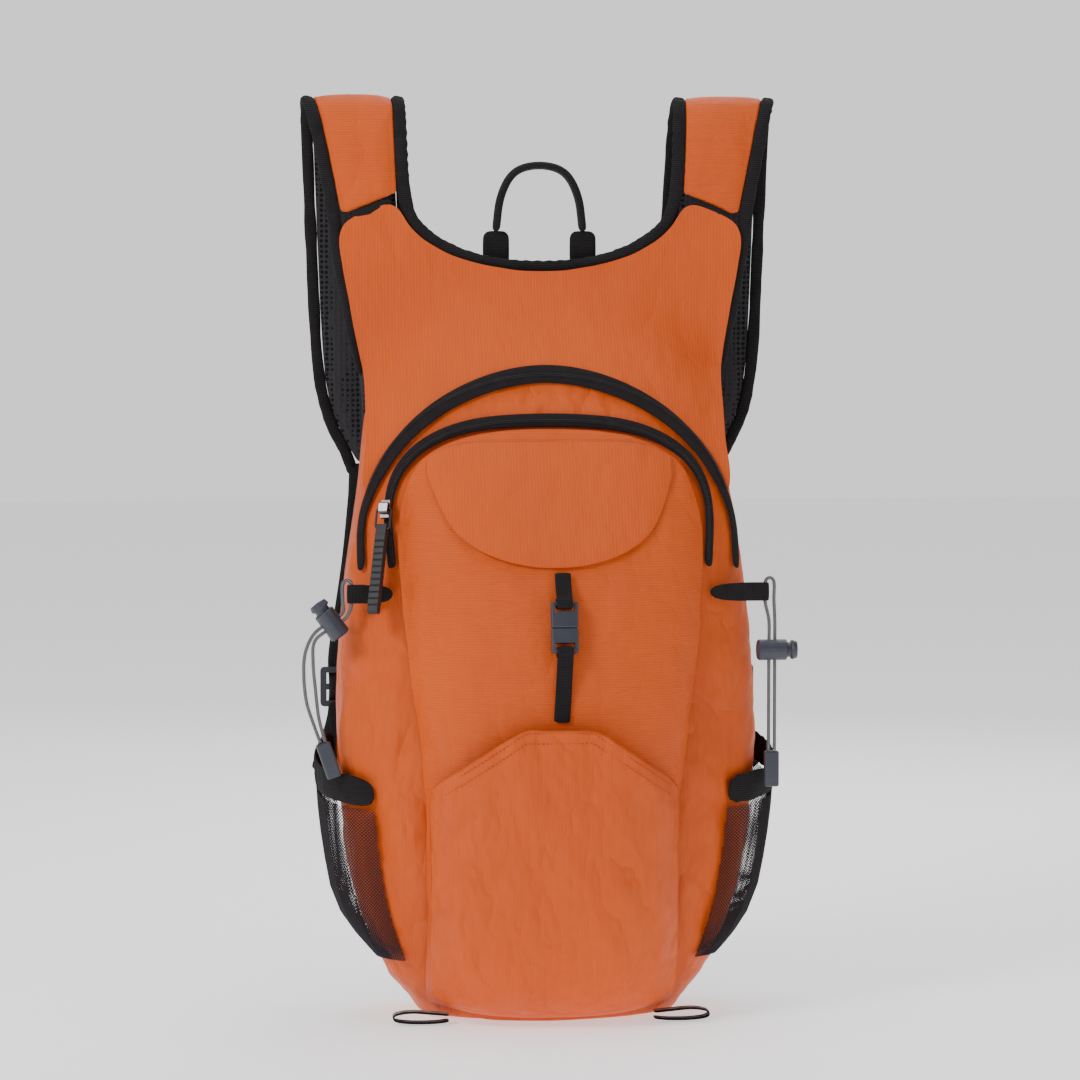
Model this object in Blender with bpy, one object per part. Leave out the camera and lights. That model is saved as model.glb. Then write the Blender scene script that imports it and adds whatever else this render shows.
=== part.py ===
"""A light hiking daypack with a harness yoke, a zipped front pocket, a slip-in pocket and two net side pockets.

Metres, +Z up. The zips face -Y, the shoulder straps hang behind at +Y, and the base rests on z = 0.
"""

import math

import bmesh
import bpy
import numpy as np
from mathutils import Vector

for old in list(bpy.data.objects):
    bpy.data.objects.remove(old, do_unlink=True)

MM = 0.001
GAP = 0.3 * MM

# Body of the pack
BODY_HALF_WIDTH = 128.0 * MM
BODY_HEIGHT = 447.0 * MM
BODY_DEPTH = 97.0 * MM
BACK_Y = 45.0 * MM
CLOTH = 1.6 * MM
FRONT_ROUNDNESS = 2.4

# Height up the body against half width, as shares of the two sizes above.
WIDTH_SHAPE = (
    (0.0, 0.60), (0.026, 0.67), (0.08, 0.80), (0.177, 0.92), (0.309, 0.985), (0.42, 1.0), (0.574, 0.968),
    (0.728, 0.89), (0.839, 0.85), (0.883, 0.78), (0.95, 0.545), (0.982, 0.34), (1.0, 0.12),
)
# Height up the body against how far its front stands out from the back, as a share of the depth.
DEPTH_SHAPE = (
    (0.0, 0.80), (0.03, 0.885), (0.09, 0.95), (0.20, 0.99), (0.33, 1.0), (0.55, 0.93), (0.70, 0.78),
    (0.795, 0.585), (0.85, 0.465), (0.90, 0.36), (0.95, 0.225), (0.98, 0.13), (1.0, 0.075),
)
# Height up the body against how deep the flat side walls are, as a share of the depth.
SIDE_SHAPE = (
    (0.0, 0.40), (0.09, 0.46), (0.33, 0.50), (0.60, 0.46), (0.75, 0.34), (0.85, 0.20), (0.95, 0.09), (1.0, 0.03),
)

# Padded back and the yoke above the body
BACK_THICK = 11.0 * MM
YOKE_THICK = 5.5 * MM
NECK_Z = BODY_HEIGHT + 5.0 * MM
SEAM_INNER_Z = BODY_HEIGHT + 53.0 * MM
SEAM_OUTER_Z = BODY_HEIGHT + 32.0 * MM
SEAM_BAND = 6.0 * MM
BINDING_WIDTH = 9.0 * MM

# Shoulder straps
STRAP_SEAM_X = 106.0 * MM
STRAP_SEAM_HALF = 25.0 * MM
STRAP_TOP_X = 116.0 * MM
STRAP_TOP_HALF = 32.5 * MM
STRAP_TOP_Z = BODY_HEIGHT + 119.0 * MM
STRAP_THICK = 7.0 * MM
STRAP_DROP = 228.0 * MM
STRAP_LEAN = 17.0 * MM
STRAP_END_HALF = 15.0 * MM
STRAP_WEB_WIDTH = 20.0 * MM
STRAP_WEB_GAP = 0.163 * MM
WEB_THICK = 1.4 * MM
LADDER_Z = BODY_HEIGHT - 251.0 * MM
LADDER_WIDTH = 26.0 * MM
LADDER_BAR = 3.6 * MM
LADDER_SLOT = 7.0 * MM
LADDER_THICK = 2.6 * MM

# Grab handle
HANDLE_HALF = 25.0 * MM
HANDLE_TOP_Z = BODY_HEIGHT + 75.0 * MM
HANDLE_WIDTH = 13.0 * MM
HANDLE_THICK = 3.0 * MM
HANDLE_TAB_WIDTH = 18.0 * MM
HANDLE_TAB_TOP = BODY_HEIGHT + 33.0 * MM

# Front pocket and its zip
POCKET_BULGE = 27.0 * MM
POCKET_HALF_TOP = 94.0 * MM
POCKET_HALF_WAIST = 89.0 * MM
POCKET_HALF_BASE = 75.0 * MM
POCKET_SHOULDER_Z = BODY_HEIGHT - 147.0 * MM
POCKET_APEX_Z = BODY_HEIGHT - 88.0 * MM
FRONT_TAPE = 10.0 * MM
FRONT_TAPE_LEG = 6.0 * MM
ZIP_THICK = 1.8 * MM

# Main zip
MAIN_ARCH_HALF = 113.5 * MM
MAIN_ARCH_Z = BODY_HEIGHT - 149.0 * MM
MAIN_ARCH_TOP = BODY_HEIGHT - 55.0 * MM
MAIN_ARCH_FOOT = BODY_HEIGHT - 173.0 * MM
MAIN_TAPE_APEX = 12.5 * MM
MAIN_TAPE_END = 6.0 * MM

# Badge panel, buckle and slip-in pocket
BADGE_HALF = 74.0 * MM
BADGE_TOP_Z = BODY_HEIGHT - 98.0 * MM
BADGE_LOW_Z = BODY_HEIGHT - 174.0 * MM
BUCKLE_X = 4.0 * MM
BUCKLE_Z = BODY_HEIGHT - 207.0 * MM
BUCKLE_WIDTH = 16.0 * MM
BUCKLE_TRAVEL = 15.0 * MM
FRONT_WEB_WIDTH = 10.5 * MM
STASH_TOP_Z = BODY_HEIGHT - 263.0 * MM
STASH_SIDE_Z = BODY_HEIGHT - 301.0 * MM
STASH_FLAT = 20.0 * MM
STASH_MOUTH = 8.0 * MM

# Net side pockets
NET_LOW_Z = 38.0 * MM
NET_FRONT_Z = BODY_HEIGHT - 297.0 * MM
NET_BACK_Z = BODY_HEIGHT - 275.0 * MM
NET_BULGE = 13.0 * MM
NET_THICK = 1.0 * MM
NET_BAND = 19.0 * MM

# Side cords, their locks and ends
TAB_Z = BODY_HEIGHT - 186.0 * MM
TAB_WIDTH = 12.0 * MM
CORD_RADIUS = 1.1 * MM
CORD_PITCH = 3.6 * MM
CORD_Y = -31.0 * MM
LOCK_DROP_RIGHT = 35.5 * MM
LOCK_DROP_LEFT = 18.0 * MM
LOCK_OUT_RIGHT = 28.551 * MM
LOCK_OUT_LEFT = 30.142 * MM
END_DROP_RIGHT = 97.0 * MM
END_DROP_LEFT = 90.0 * MM
END_OUT_RIGHT = 7.038 * MM
END_OUT_LEFT = 10.281 * MM
TAB_OUT_RIGHT = 34.913 * MM
TAB_OUT_LEFT = 24.913 * MM
LOCK_RADIUS = 6.4 * MM
LOCK_LENGTH = 15.0 * MM
LOCK_TRAVEL = 30.0 * MM
PLUNGER_PRESS = 2.2 * MM
END_LENGTH = 22.0 * MM
END_WIDTH = 9.0 * MM

# Zip pull
PULL_LENGTH = 48.0 * MM
SLIDER_TRAVEL = 24.0 * MM

LASH_WIDTH = 13.0 * MM
LASH_Y = -33.5 * MM
LASH_OUT = 3.339 * MM
LASH_HEIGHT = 5.6 * MM

COLLECTION = bpy.data.collections.new("daypack")
bpy.context.scene.collection.children.link(COLLECTION)
CUTTERS = bpy.data.collections.new("cutters")
CUTTERS.hide_render = True
bpy.context.scene.collection.children.link(CUTTERS)

ORANGE = (0.83, 0.12, 0.025, 1.0)
BLACK_WEB = (0.014, 0.012, 0.014, 1.0)
BLACK_NET = (0.02, 0.018, 0.02, 1.0)
SLATE = (0.035, 0.038, 0.055, 1.0)
METAL = (0.55, 0.55, 0.56, 1.0)


def material(name, colour, roughness, metallic=0.0):
    """A plain Principled material."""
    made = bpy.data.materials.new(name)
    made.use_nodes = True
    shader = made.node_tree.nodes["Principled BSDF"]
    shader.inputs["Base Color"].default_value = colour
    shader.inputs["Roughness"].default_value = roughness
    shader.inputs["Metallic"].default_value = metallic
    return made


def add_object(name, mesh, colour, roughness, metallic=0.0, smooth=True):
    """Links a finished mesh as one named piece."""
    obj = bpy.data.objects.new(name, mesh)
    COLLECTION.objects.link(obj)
    mesh.materials.clear()
    mesh.materials.append(material(name, colour, roughness, metallic))
    for face in mesh.polygons:
        face.use_smooth = smooth
    return obj


def face_out(bm):
    """Turns every face of a closed mesh outward."""
    bmesh.ops.recalc_face_normals(bm, faces=bm.faces)
    if bm.calc_volume(signed=True) < 0:
        bmesh.ops.reverse_faces(bm, faces=bm.faces)


def mesh_from(name, points, faces):
    """A closed mesh with its faces turned outward."""
    mesh = bpy.data.meshes.new(name)
    mesh.from_pydata([tuple(p) for p in points], [], faces)
    bm = bmesh.new()
    bm.from_mesh(mesh)
    bmesh.ops.remove_doubles(bm, verts=bm.verts, dist=1e-7)
    face_out(bm)
    bm.to_mesh(mesh)
    bm.free()
    return mesh


def smooth_table(table, share):
    """Reads a table of (position, value) rows with a smooth curve that doesn't overshoot."""
    xs = [row[0] for row in table]
    ys = [row[1] for row in table]
    if share <= xs[0]:
        return ys[0]
    if share >= xs[-1]:
        return ys[-1]
    k = 0
    while share > xs[k + 1]:
        k += 1

    def slope(i):
        if i <= 0 or i >= len(xs) - 1:
            j = min(max(i, 1), len(xs) - 1)
            return (ys[j] - ys[j - 1]) / (xs[j] - xs[j - 1])
        left = (ys[i] - ys[i - 1]) / (xs[i] - xs[i - 1])
        right = (ys[i + 1] - ys[i]) / (xs[i + 1] - xs[i])
        return 0.0 if left * right <= 0.0 else 2.0 * left * right / (left + right)

    h = xs[k + 1] - xs[k]
    t = (share - xs[k]) / h
    a = (1 + 2 * t) * (1 - t) ** 2
    b = t * (1 - t) ** 2
    c = t * t * (3 - 2 * t)
    d = t * t * (t - 1)
    return a * ys[k] + b * h * slope(k) + c * ys[k + 1] + d * h * slope(k + 1)


def lerp(a, b, t):
    return a + (b - a) * t


def spread(low, high, count):
    """Evenly spaced values from low to high."""
    return [lerp(low, high, i / (count - 1)) for i in range(count)]


def half_width(z):
    """Half width of the body at a height."""
    return BODY_HALF_WIDTH * smooth_table(WIDTH_SHAPE, z / BODY_HEIGHT)


def front_y(z):
    """Y of the body's front at its middle."""
    return BACK_Y - BODY_DEPTH * smooth_table(DEPTH_SHAPE, z / BODY_HEIGHT)


def side_y(z):
    """Y where the flat side wall turns into the rounded front."""
    return BACK_Y - BODY_DEPTH * smooth_table(SIDE_SHAPE, z / BODY_HEIGHT)


def body_point(a, z):
    """A point on the outside of the body.

    a runs from -2 at the left back edge through -1 at the left front corner, 0 at the middle of the
    front and 1 at the right front corner, to 2 at the right back edge.
    """
    w = half_width(z)
    ys = side_y(z)
    side = math.copysign(1.0, a)
    part = abs(a)
    if part >= 1.0:
        return Vector((side * w, lerp(ys, BACK_Y, part - 1.0), z))
    angle = part * math.pi / 2
    x = w * math.sin(angle) ** (2 / FRONT_ROUNDNESS)
    y = ys - (ys - front_y(z)) * max(math.cos(angle), 0.0) ** (2 / FRONT_ROUNDNESS)
    return Vector((side * x, y, z))


def body_normal(a, z):
    """The outward direction of the body at (a, z)."""
    da, dz = 0.02, 1.5 * MM
    low = max(z - dz, 0.0)
    high = min(z + dz, BODY_HEIGHT)
    across = body_point(a + da, z) - body_point(a - da, z)
    up = body_point(a, high) - body_point(a, low)
    return across.cross(up).normalized()


def wall_x(y, z):
    """X of the body's rounded front where it comes back to y at a height."""
    ys = side_y(z)
    share = min(max((ys - y) / (ys - front_y(z)), 0.0), 1.0) ** (FRONT_ROUNDNESS / 2)
    return half_width(z) * math.sqrt(1 - share ** 2) ** (2 / FRONT_ROUNDNESS)


def place(a, z, off):
    """A point at a distance off the body."""
    return body_point(a, z) + body_normal(a, z) * off


def across_for(x, z):
    """The a of the body's front at a given x and height."""
    w = half_width(z)
    s = min(abs(x) / w, 1.0)
    return math.copysign(math.asin(s ** (FRONT_ROUNDNESS / 2)) * 2 / math.pi, x)


def grid_shell(name, inner, outer, colour, roughness, smooth=True):
    """A curved sheet between two equal grids of points, closed round its rim."""
    rows = len(inner)
    cols = len(inner[0])
    points = [p for row in inner for p in row] + [p for row in outer for p in row]
    size = rows * cols
    faces = []
    for r in range(rows - 1):
        for c in range(cols - 1):
            i = r * cols + c
            faces.append((i, i + 1, i + cols + 1, i + cols))
            faces.append((size + i, size + i + cols, size + i + cols + 1, size + i + 1))
    rim = [c for c in range(cols)]
    rim += [r * cols + cols - 1 for r in range(1, rows)]
    rim += [(rows - 1) * cols + c for c in range(cols - 2, -1, -1)]
    rim += [r * cols for r in range(rows - 2, 0, -1)]
    for k, i in enumerate(rim):
        j = rim[(k + 1) % len(rim)]
        faces.append((i, size + i, size + j, j))
    return add_object(name, mesh_from(name, points, faces), colour, roughness, smooth=smooth)


def rings_solid(name, rings, colour, roughness, metallic=0.0, smooth=True, closed=False):
    """A solid through a row of equal rings, capped at both ends or joined into a loop."""
    count = len(rings[0])
    points = [p for ring in rings for p in ring]
    faces = []
    last = len(rings) if closed else len(rings) - 1
    for r in range(last):
        s = (r + 1) % len(rings)
        for c in range(count):
            d = (c + 1) % count
            faces.append((r * count + c, r * count + d, s * count + d, s * count + c))
    if not closed:
        faces.append(tuple(range(count)))
        faces.append(tuple((len(rings) - 1) * count + c for c in range(count)))
    return add_object(name, mesh_from(name, points, faces), colour, roughness, metallic, smooth)


def curve_points(route, count, closed=False):
    """Points spaced evenly along a smooth curve through a route."""
    pts = [np.array(p, dtype=float) for p in route]
    n = len(pts)
    dense = []
    spans = n if closed else n - 1
    for k in range(spans):
        p1, p2 = pts[k], pts[(k + 1) % n]
        p0 = pts[(k - 1) % n] if closed or k > 0 else 2 * p1 - p2
        p3 = pts[(k + 2) % n] if closed or k < n - 2 else 2 * p2 - p1
        for t in np.linspace(0, 1, 16, endpoint=False):
            a = -0.5 * t**3 + t**2 - 0.5 * t
            b = 1.5 * t**3 - 2.5 * t**2 + 1
            c = -1.5 * t**3 + 2 * t**2 + 0.5 * t
            d = 0.5 * t**3 - 0.5 * t**2
            dense.append(a * p0 + b * p1 + c * p2 + d * p3)
    dense.append(pts[0] if closed else pts[-1])
    dense = np.array(dense)
    steps = np.linalg.norm(np.diff(dense, axis=0), axis=1)
    along = np.concatenate([[0.0], np.cumsum(steps)])
    wanted = np.linspace(0, along[-1], count + 1 if closed else count)
    found = np.stack([np.interp(wanted, along, dense[:, k]) for k in range(3)], axis=1)
    if closed:
        found = found[:-1]
    return [Vector(p) for p in found]


def web_rings(path, wide, widths, thicks, shift=0.0, closed=False):
    """Rings of a flat webbing swept along a path.

    wide gives the direction of the width at each point, widths and thicks its two sizes there.
    """
    rings = []
    n = len(path)
    for k, p in enumerate(path):
        ahead = path[(k + 1) % n] if closed or k < n - 1 else path[k]
        behind = path[(k - 1) % n] if closed or k > 0 else path[k]
        tangent = (ahead - behind).normalized()
        w = Vector(wide[k] if isinstance(wide, list) else wide)
        w = (w - tangent * w.dot(tangent)).normalized()
        out = tangent.cross(w).normalized()
        width = widths[k] if isinstance(widths, list) else widths
        thick = thicks[k] if isinstance(thicks, list) else thicks
        mid = p + out * shift
        rings.append([
            mid - w * width / 2 - out * thick / 2,
            mid + w * width / 2 - out * thick / 2,
            mid + w * width / 2 + out * thick / 2,
            mid - w * width / 2 + out * thick / 2,
        ])
    return rings


def strip_rings(path, widths, off, thick, cross=2):
    """Rings of a strip that lies along a path of (a, z) places on the body."""
    rings = []
    n = len(path)
    for k, (a, z) in enumerate(path):
        a0, z0 = path[max(k - 1, 0)]
        a1, z1 = path[min(k + 1, n - 1)]
        tangent = (body_point(a1, z1) - body_point(a0, z0)).normalized()
        side = body_normal(a, z).cross(tangent).normalized()
        pa = (body_point(a + 0.01, z) - body_point(a - 0.01, z)) / 0.02
        pz = (body_point(a, z + 0.001) - body_point(a, z - 0.001)) / 0.002
        m = np.array([[pa.dot(pa), pa.dot(pz)], [pa.dot(pz), pz.dot(pz)]])
        width = widths[k] if isinstance(widths, list) else widths
        gain = np.linalg.solve(m, np.array([side.dot(pa), side.dot(pz)])) * width / 2
        low = off[k] if isinstance(off, list) else off
        spots = [lerp(-1.0, 1.0, i / cross) for i in range(cross + 1)]
        under = [place(a + gain[0] * s, z + gain[1] * s, low) for s in spots]
        over = [place(a + gain[0] * s, z + gain[1] * s, low + thick) for s in reversed(spots)]
        rings.append(under + over)
    return rings


def build_body():
    """The cloth shell of the main compartment, open at the back."""
    heights = [0.0, 4 * MM, 12 * MM, 25 * MM] + spread(45 * MM, 0.95 * BODY_HEIGHT, 17)
    heights += [0.975 * BODY_HEIGHT, BODY_HEIGHT]
    places = [-2.0, -1.4, -1.0, -0.9, -0.78, -0.62, -0.45, -0.22, 0.0]
    places += [-a for a in reversed(places[:-1])]
    outer = [[body_point(a, z) for a in places] for z in heights]
    inner = []
    for r, z in enumerate(heights):
        row = []
        for c, p in enumerate(outer[r]):
            q = place(places[c], z, -CLOTH)
            row.append(Vector((q.x, min(q.y, BACK_Y), q.z)))
        inner.append(row)
    base_in = [Vector((p.x * 0.985, p.y, CLOTH)) for p in inner[0]]
    count = len(places)
    points = [p for row in outer for p in row]
    size = len(points)
    levels = [base_in] + [row for row in inner[1:-1]]
    levels.append([Vector((p.x, p.y, BODY_HEIGHT - CLOTH)) for p in inner[-1]])
    levels[1] = [Vector((p.x, p.y, max(p.z, 1.6 * CLOTH))) for p in levels[1]]
    points += [p for row in levels for p in row]
    rows = len(heights)
    faces = []
    for r in range(rows - 1):
        for c in range(count - 1):
            i = r * count + c
            faces.append((i, i + 1, i + count + 1, i + count))
            faces.append((size + i, size + i + count, size + i + count + 1, size + i + 1))
    for r in range(rows - 1):
        i = r * count
        j = i + count - 1
        faces.append((i, i + count, size + i + count, size + i))
        faces.append((j, size + j, size + j + count, j + count))
    half = count // 2
    for base, flip in ((0, False), (size, True)):
        for top in (0, (rows - 1) * count):
            for c in range(half):
                d = count - 1 - c
                a, b = base + top + c, base + top + c + 1
                e, f = base + top + d - 1, base + top + d
                faces.append((a, b, e, f) if b != e else (a, b, f))
    faces.append((0, size, size + count - 1, count - 1))
    top = (rows - 1) * count
    faces.append((top, top + count - 1, size + top + count - 1, size + top))
    add_object("main_body", mesh_from("main_body", points, faces), ORANGE, 0.6)


def pocket_half(z):
    """Half width of the front pocket at a height."""
    rows = ((0.0, POCKET_HALF_BASE), (0.45, POCKET_HALF_BASE + 1 * MM), (0.80, POCKET_HALF_WAIST),
            (1.0, POCKET_HALF_TOP))
    return smooth_table(rows, z / POCKET_SHOULDER_Z)


def pocket_top(u):
    """Height of the front pocket's arch at a share u of its half width."""
    rise = POCKET_APEX_Z - POCKET_SHOULDER_Z
    return POCKET_SHOULDER_Z + rise * max(1 - abs(u) ** 2.6, 0.0) ** (1 / 2.6)


def pocket_low(u):
    """Height of the front pocket's lower edge."""
    return 5 * MM + 9 * MM * abs(u) ** 3


def pocket_rise(u, v):
    """How far the front pocket stands off the body, v running from its lower edge to its arch."""
    across = max(1 - abs(u) ** 3.2, 0.0) ** 0.62
    foot = max(1 - (1 - min(v / 0.22, 1.0)) ** 2.4, 0.0) ** 0.6
    head = max(1 - max((v - 0.35) / 0.65, 0.0) ** 2.2, 0.0)
    return POCKET_BULGE * across * foot * lerp(0.10, 1.0, head) if v > 0 else 0.0


def pocket_uv(x, z):
    """The front pocket's own u and v at an x and height."""
    u = max(-1.0, min(1.0, x / pocket_half(z)))
    low, top = pocket_low(u), pocket_top(u)
    return u, max(0.0, min(1.0, (z - low) / (top - low)))


def pocket_skin(x, z, off):
    """A point at a distance off the outside of the front pocket."""
    u, v = pocket_uv(x, z)
    return place(across_for(x, z), z, GAP + CLOTH + pocket_rise(u, v) + off)


def build_front_pocket():
    """The front pocket's cloth, bulged off the body."""
    cols = spread(-1, 1, 17)
    cols = [math.copysign(abs(u) ** 0.8, u) for u in cols]
    rows = [0.0, 0.012, 0.035, 0.075, 0.13, 0.2] + spread(0.28, 1.0, 11)
    inner, outer = [], []
    for v in rows:
        low_row, high_row = [], []
        for u in cols:
            z = lerp(pocket_low(u), pocket_top(u), v)
            x = u * pocket_half(z)
            a = across_for(x, z)
            rise = pocket_rise(u, v)
            low_row.append(place(a, z, GAP + rise))
            high_row.append(place(a, z, GAP + rise + CLOTH))
        inner.append(low_row)
        outer.append(high_row)
    grid_shell("front_pocket", inner, outer, ORANGE, 0.6)


def build_zips():
    """The two arched zip tapes."""
    path, widths = [], []
    low = MAIN_ARCH_FOOT + 2 * MM
    for u in spread(-1, 1, 33):
        t = math.copysign(abs(u) ** 0.72, u)
        side = math.copysign(1.0, t)
        part = abs(t)
        width = lerp(FRONT_TAPE, FRONT_TAPE_LEG, min(part / 0.8, 1.0) ** 2)
        if part > 0.86:
            z = lerp(POCKET_SHOULDER_Z, low, (part - 0.86) / 0.14)
            x = side * (pocket_half(z) + width / 2 + GAP)
        else:
            angle = part / 0.86 * math.pi / 2
            shape_x = math.sin(angle) ** (2 / 2.6)
            shape_z = max(math.cos(angle), 0.0) ** (2 / 2.6)
            grow = width / 2 + 2 * GAP
            x = side * (POCKET_HALF_TOP + grow) * shape_x
            z = POCKET_SHOULDER_Z + (POCKET_APEX_Z - POCKET_SHOULDER_Z + grow) * shape_z
        path.append((across_for(x, z), z))
        widths.append(width * 0.92)
    rings = strip_rings(path, widths, GAP, ZIP_THICK)
    rings_solid("front_zip_tape", rings, BLACK_WEB, 0.8)
    path, widths = [], []
    angles = spread(-math.pi / 2, math.pi / 2, 27)
    legs = [(angles[0], MAIN_ARCH_FOOT), (angles[0], (MAIN_ARCH_FOOT + MAIN_ARCH_Z) / 2)]
    spots = legs + [(angle, 0.0) for angle in angles] + [(-angle, z) for angle, z in reversed(legs)]
    for angle, foot in spots:
        z = foot or MAIN_ARCH_Z + (MAIN_ARCH_TOP - MAIN_ARCH_Z) * math.cos(angle)
        reach = min(MAIN_ARCH_HALF, 0.968 * half_width(z))
        path.append((across_for(reach * math.sin(angle), z), z))
        widths.append(lerp(MAIN_TAPE_END, MAIN_TAPE_APEX, max(math.cos(angle), 0.0) ** 1.3))
    rings_solid("main_zip_tape", strip_rings(path, widths, GAP, ZIP_THICK), BLACK_WEB, 0.8)


def build_badge():
    """The plain D-shaped panel under the front zip."""
    inner, outer = [], []
    for v in spread(0, 1, 9):
        low_row, high_row = [], []
        for u in spread(-1, 1, 13):
            x = u * BADGE_HALF
            low = BADGE_LOW_Z + (BADGE_TOP_Z - 18 * MM - BADGE_LOW_Z) * (1 - max(1 - abs(u) ** 2.2, 0.0) ** 0.5)
            top = min(BADGE_TOP_Z, pocket_top(x / POCKET_HALF_TOP) - 4 * MM)
            z = lerp(low, top, v)
            low_row.append(pocket_skin(x, z, 3 * GAP))
            high_row.append(pocket_skin(x, z, 3 * GAP + 0.9 * MM))
        inner.append(low_row)
        outer.append(high_row)
    grid_shell("badge_panel", inner, outer, ORANGE, 0.6)


def stash_edge(u):
    """Height of the slip-in pocket's mouth at a share u of its half width."""
    half = pocket_half(STASH_SIDE_Z)
    x = abs(u) * half
    if x < STASH_FLAT:
        return STASH_TOP_Z
    return lerp(STASH_TOP_Z, STASH_SIDE_Z, (x - STASH_FLAT) / (half - STASH_FLAT))


def build_stash():
    """The slip-in pocket on the front pocket, open along its top."""
    inner, outer = [], []
    for v in [0.0, 0.05, 0.12, 0.22, 0.35, 0.5, 0.66, 0.83, 1.0]:
        low_row, high_row = [], []
        for u in spread(-0.95, 0.95, 15):
            low = pocket_low(u) + 9 * MM
            z = lerp(low, stash_edge(u), v)
            x = u * pocket_half(z)
            puff = STASH_MOUTH * max(1 - abs(u / 0.95) ** 2.4, 0.0) * v ** 0.7
            low_row.append(pocket_skin(x, z, 4 * GAP + puff))
            high_row.append(pocket_skin(x, z, 4 * GAP + puff + CLOTH))
        inner.append(low_row)
        outer.append(high_row)
    grid_shell("stash_pocket", inner, outer, ORANGE, 0.6)


def net_front(z):
    """The a of a net pocket's front edge at a height."""
    return across_for(0.84 * half_width(z), z)


def net_row(side, v, share, off):
    """One row of a net pocket from its front edge to its back edge."""
    row = []
    for u in spread(0, 1, 13):
        top = lerp(NET_FRONT_Z, NET_BACK_Z, u) - share
        z = lerp(NET_LOW_Z, top, v)
        a = lerp(net_front(z), 1.93, u)
        lift = v * (NET_FRONT_Z - NET_LOW_Z) / (NET_FRONT_Z - NET_LOW_Z)
        puff = NET_BULGE * math.sin(math.pi * u) ** 0.8 * math.sin(min(lift * 2.2, 1.0) * math.pi / 2)
        row.append(place(side * a, z, GAP + puff + off))
    return row


def build_net(side, word):
    """One net side pocket and the elastic band round its mouth."""
    levels = [0.0, 0.06, 0.15, 0.28, 0.42, 0.58, 0.74, 0.88, 1.0]
    inner = [net_row(side, v, NET_BAND + GAP, 0.0) for v in levels]
    outer = [net_row(side, v, NET_BAND + GAP, NET_THICK) for v in levels]
    grid_shell("net_pocket_" + word, inner, outer, BLACK_NET, 0.85)
    rings = []
    for k in range(13):
        ring = []
        for share, off in ((NET_BAND, 0.0), (0.0, 0.0), (0.0, 2 * NET_THICK), (NET_BAND, 2 * NET_THICK)):
            ring.append(net_row(side, 1.0, share, off)[k])
        rings.append(ring)
    rings_solid("net_band_" + word, rings, BLACK_WEB, 0.85)


def back_half(z):
    """Half width of the padded back at a height."""
    if z <= 0.84 * BODY_HEIGHT:
        return half_width(z) - 1.0 * MM
    low = half_width(0.84 * BODY_HEIGHT) - 1.0 * MM
    top = STRAP_SEAM_X + STRAP_SEAM_HALF
    t = (z - 0.84 * BODY_HEIGHT) / (SEAM_OUTER_Z - 0.84 * BODY_HEIGHT)
    return lerp(low, top, min(t, 1.0) ** 1.7)


NECK_REACH = STRAP_SEAM_X - STRAP_SEAM_HALF + BINDING_WIDTH + GAP


def neck_line(x):
    """Height of the neckline's edge at an x."""
    share = min(abs(x) / NECK_REACH, 1.0)
    return NECK_Z + (seam_line(NECK_REACH) - NECK_Z) * (1 - max(1 - share ** 2.3, 0.0) ** 0.62)


def seam_line(x):
    """Height of the seam between yoke and strap at an x."""
    low_x = STRAP_SEAM_X - STRAP_SEAM_HALF
    share = (abs(x) - low_x) / (2 * STRAP_SEAM_HALF)
    return lerp(SEAM_INNER_Z, SEAM_OUTER_Z, share)


def upper_edge(x):
    """Top edge of the yoke and the padded back."""
    return neck_line(x) if abs(x) <= NECK_REACH else seam_line(x)


def build_back():
    """The padded back, one panel from the base to the seams of the straps."""
    inner, outer = [], []
    for v in spread(0, 1, 15):
        low_row, high_row = [], []
        for u in spread(-1, 1, 19):
            top_x = u * (STRAP_SEAM_X + STRAP_SEAM_HALF)
            top = upper_edge(top_x) - GAP
            z = lerp(10 * MM, top, v)
            x = u * lerp(back_half(z), STRAP_SEAM_X + STRAP_SEAM_HALF, v ** 8)
            pad = 0.55 + 0.45 * (1 - abs(u) ** 4) * (1 - abs(2 * v - 1) ** 6)
            low_row.append(Vector((x, BACK_Y + GAP, z)))
            high_row.append(Vector((x, BACK_Y + GAP + BACK_THICK * pad, z)))
        inner.append(low_row)
        outer.append(high_row)
    grid_shell("back_panel", inner, outer, BLACK_NET, 0.85)


def dome_line(x):
    """Height of the body's own outline in front of the yoke at an x."""
    low, high = 0.78 * BODY_HEIGHT, BODY_HEIGHT
    for _ in range(40):
        mid = (low + high) / 2
        if half_width(mid) > abs(x):
            low = mid
        else:
            high = mid
    return low


def yoke_half(v):
    """Half width of the yoke from its foot (0) to the strap seams (1), inside its side bindings."""
    low = half_width(0.84 * BODY_HEIGHT) - 5 * MM
    return lerp(low, STRAP_SEAM_X + STRAP_SEAM_HALF - BINDING_WIDTH - GAP, v)


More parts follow.
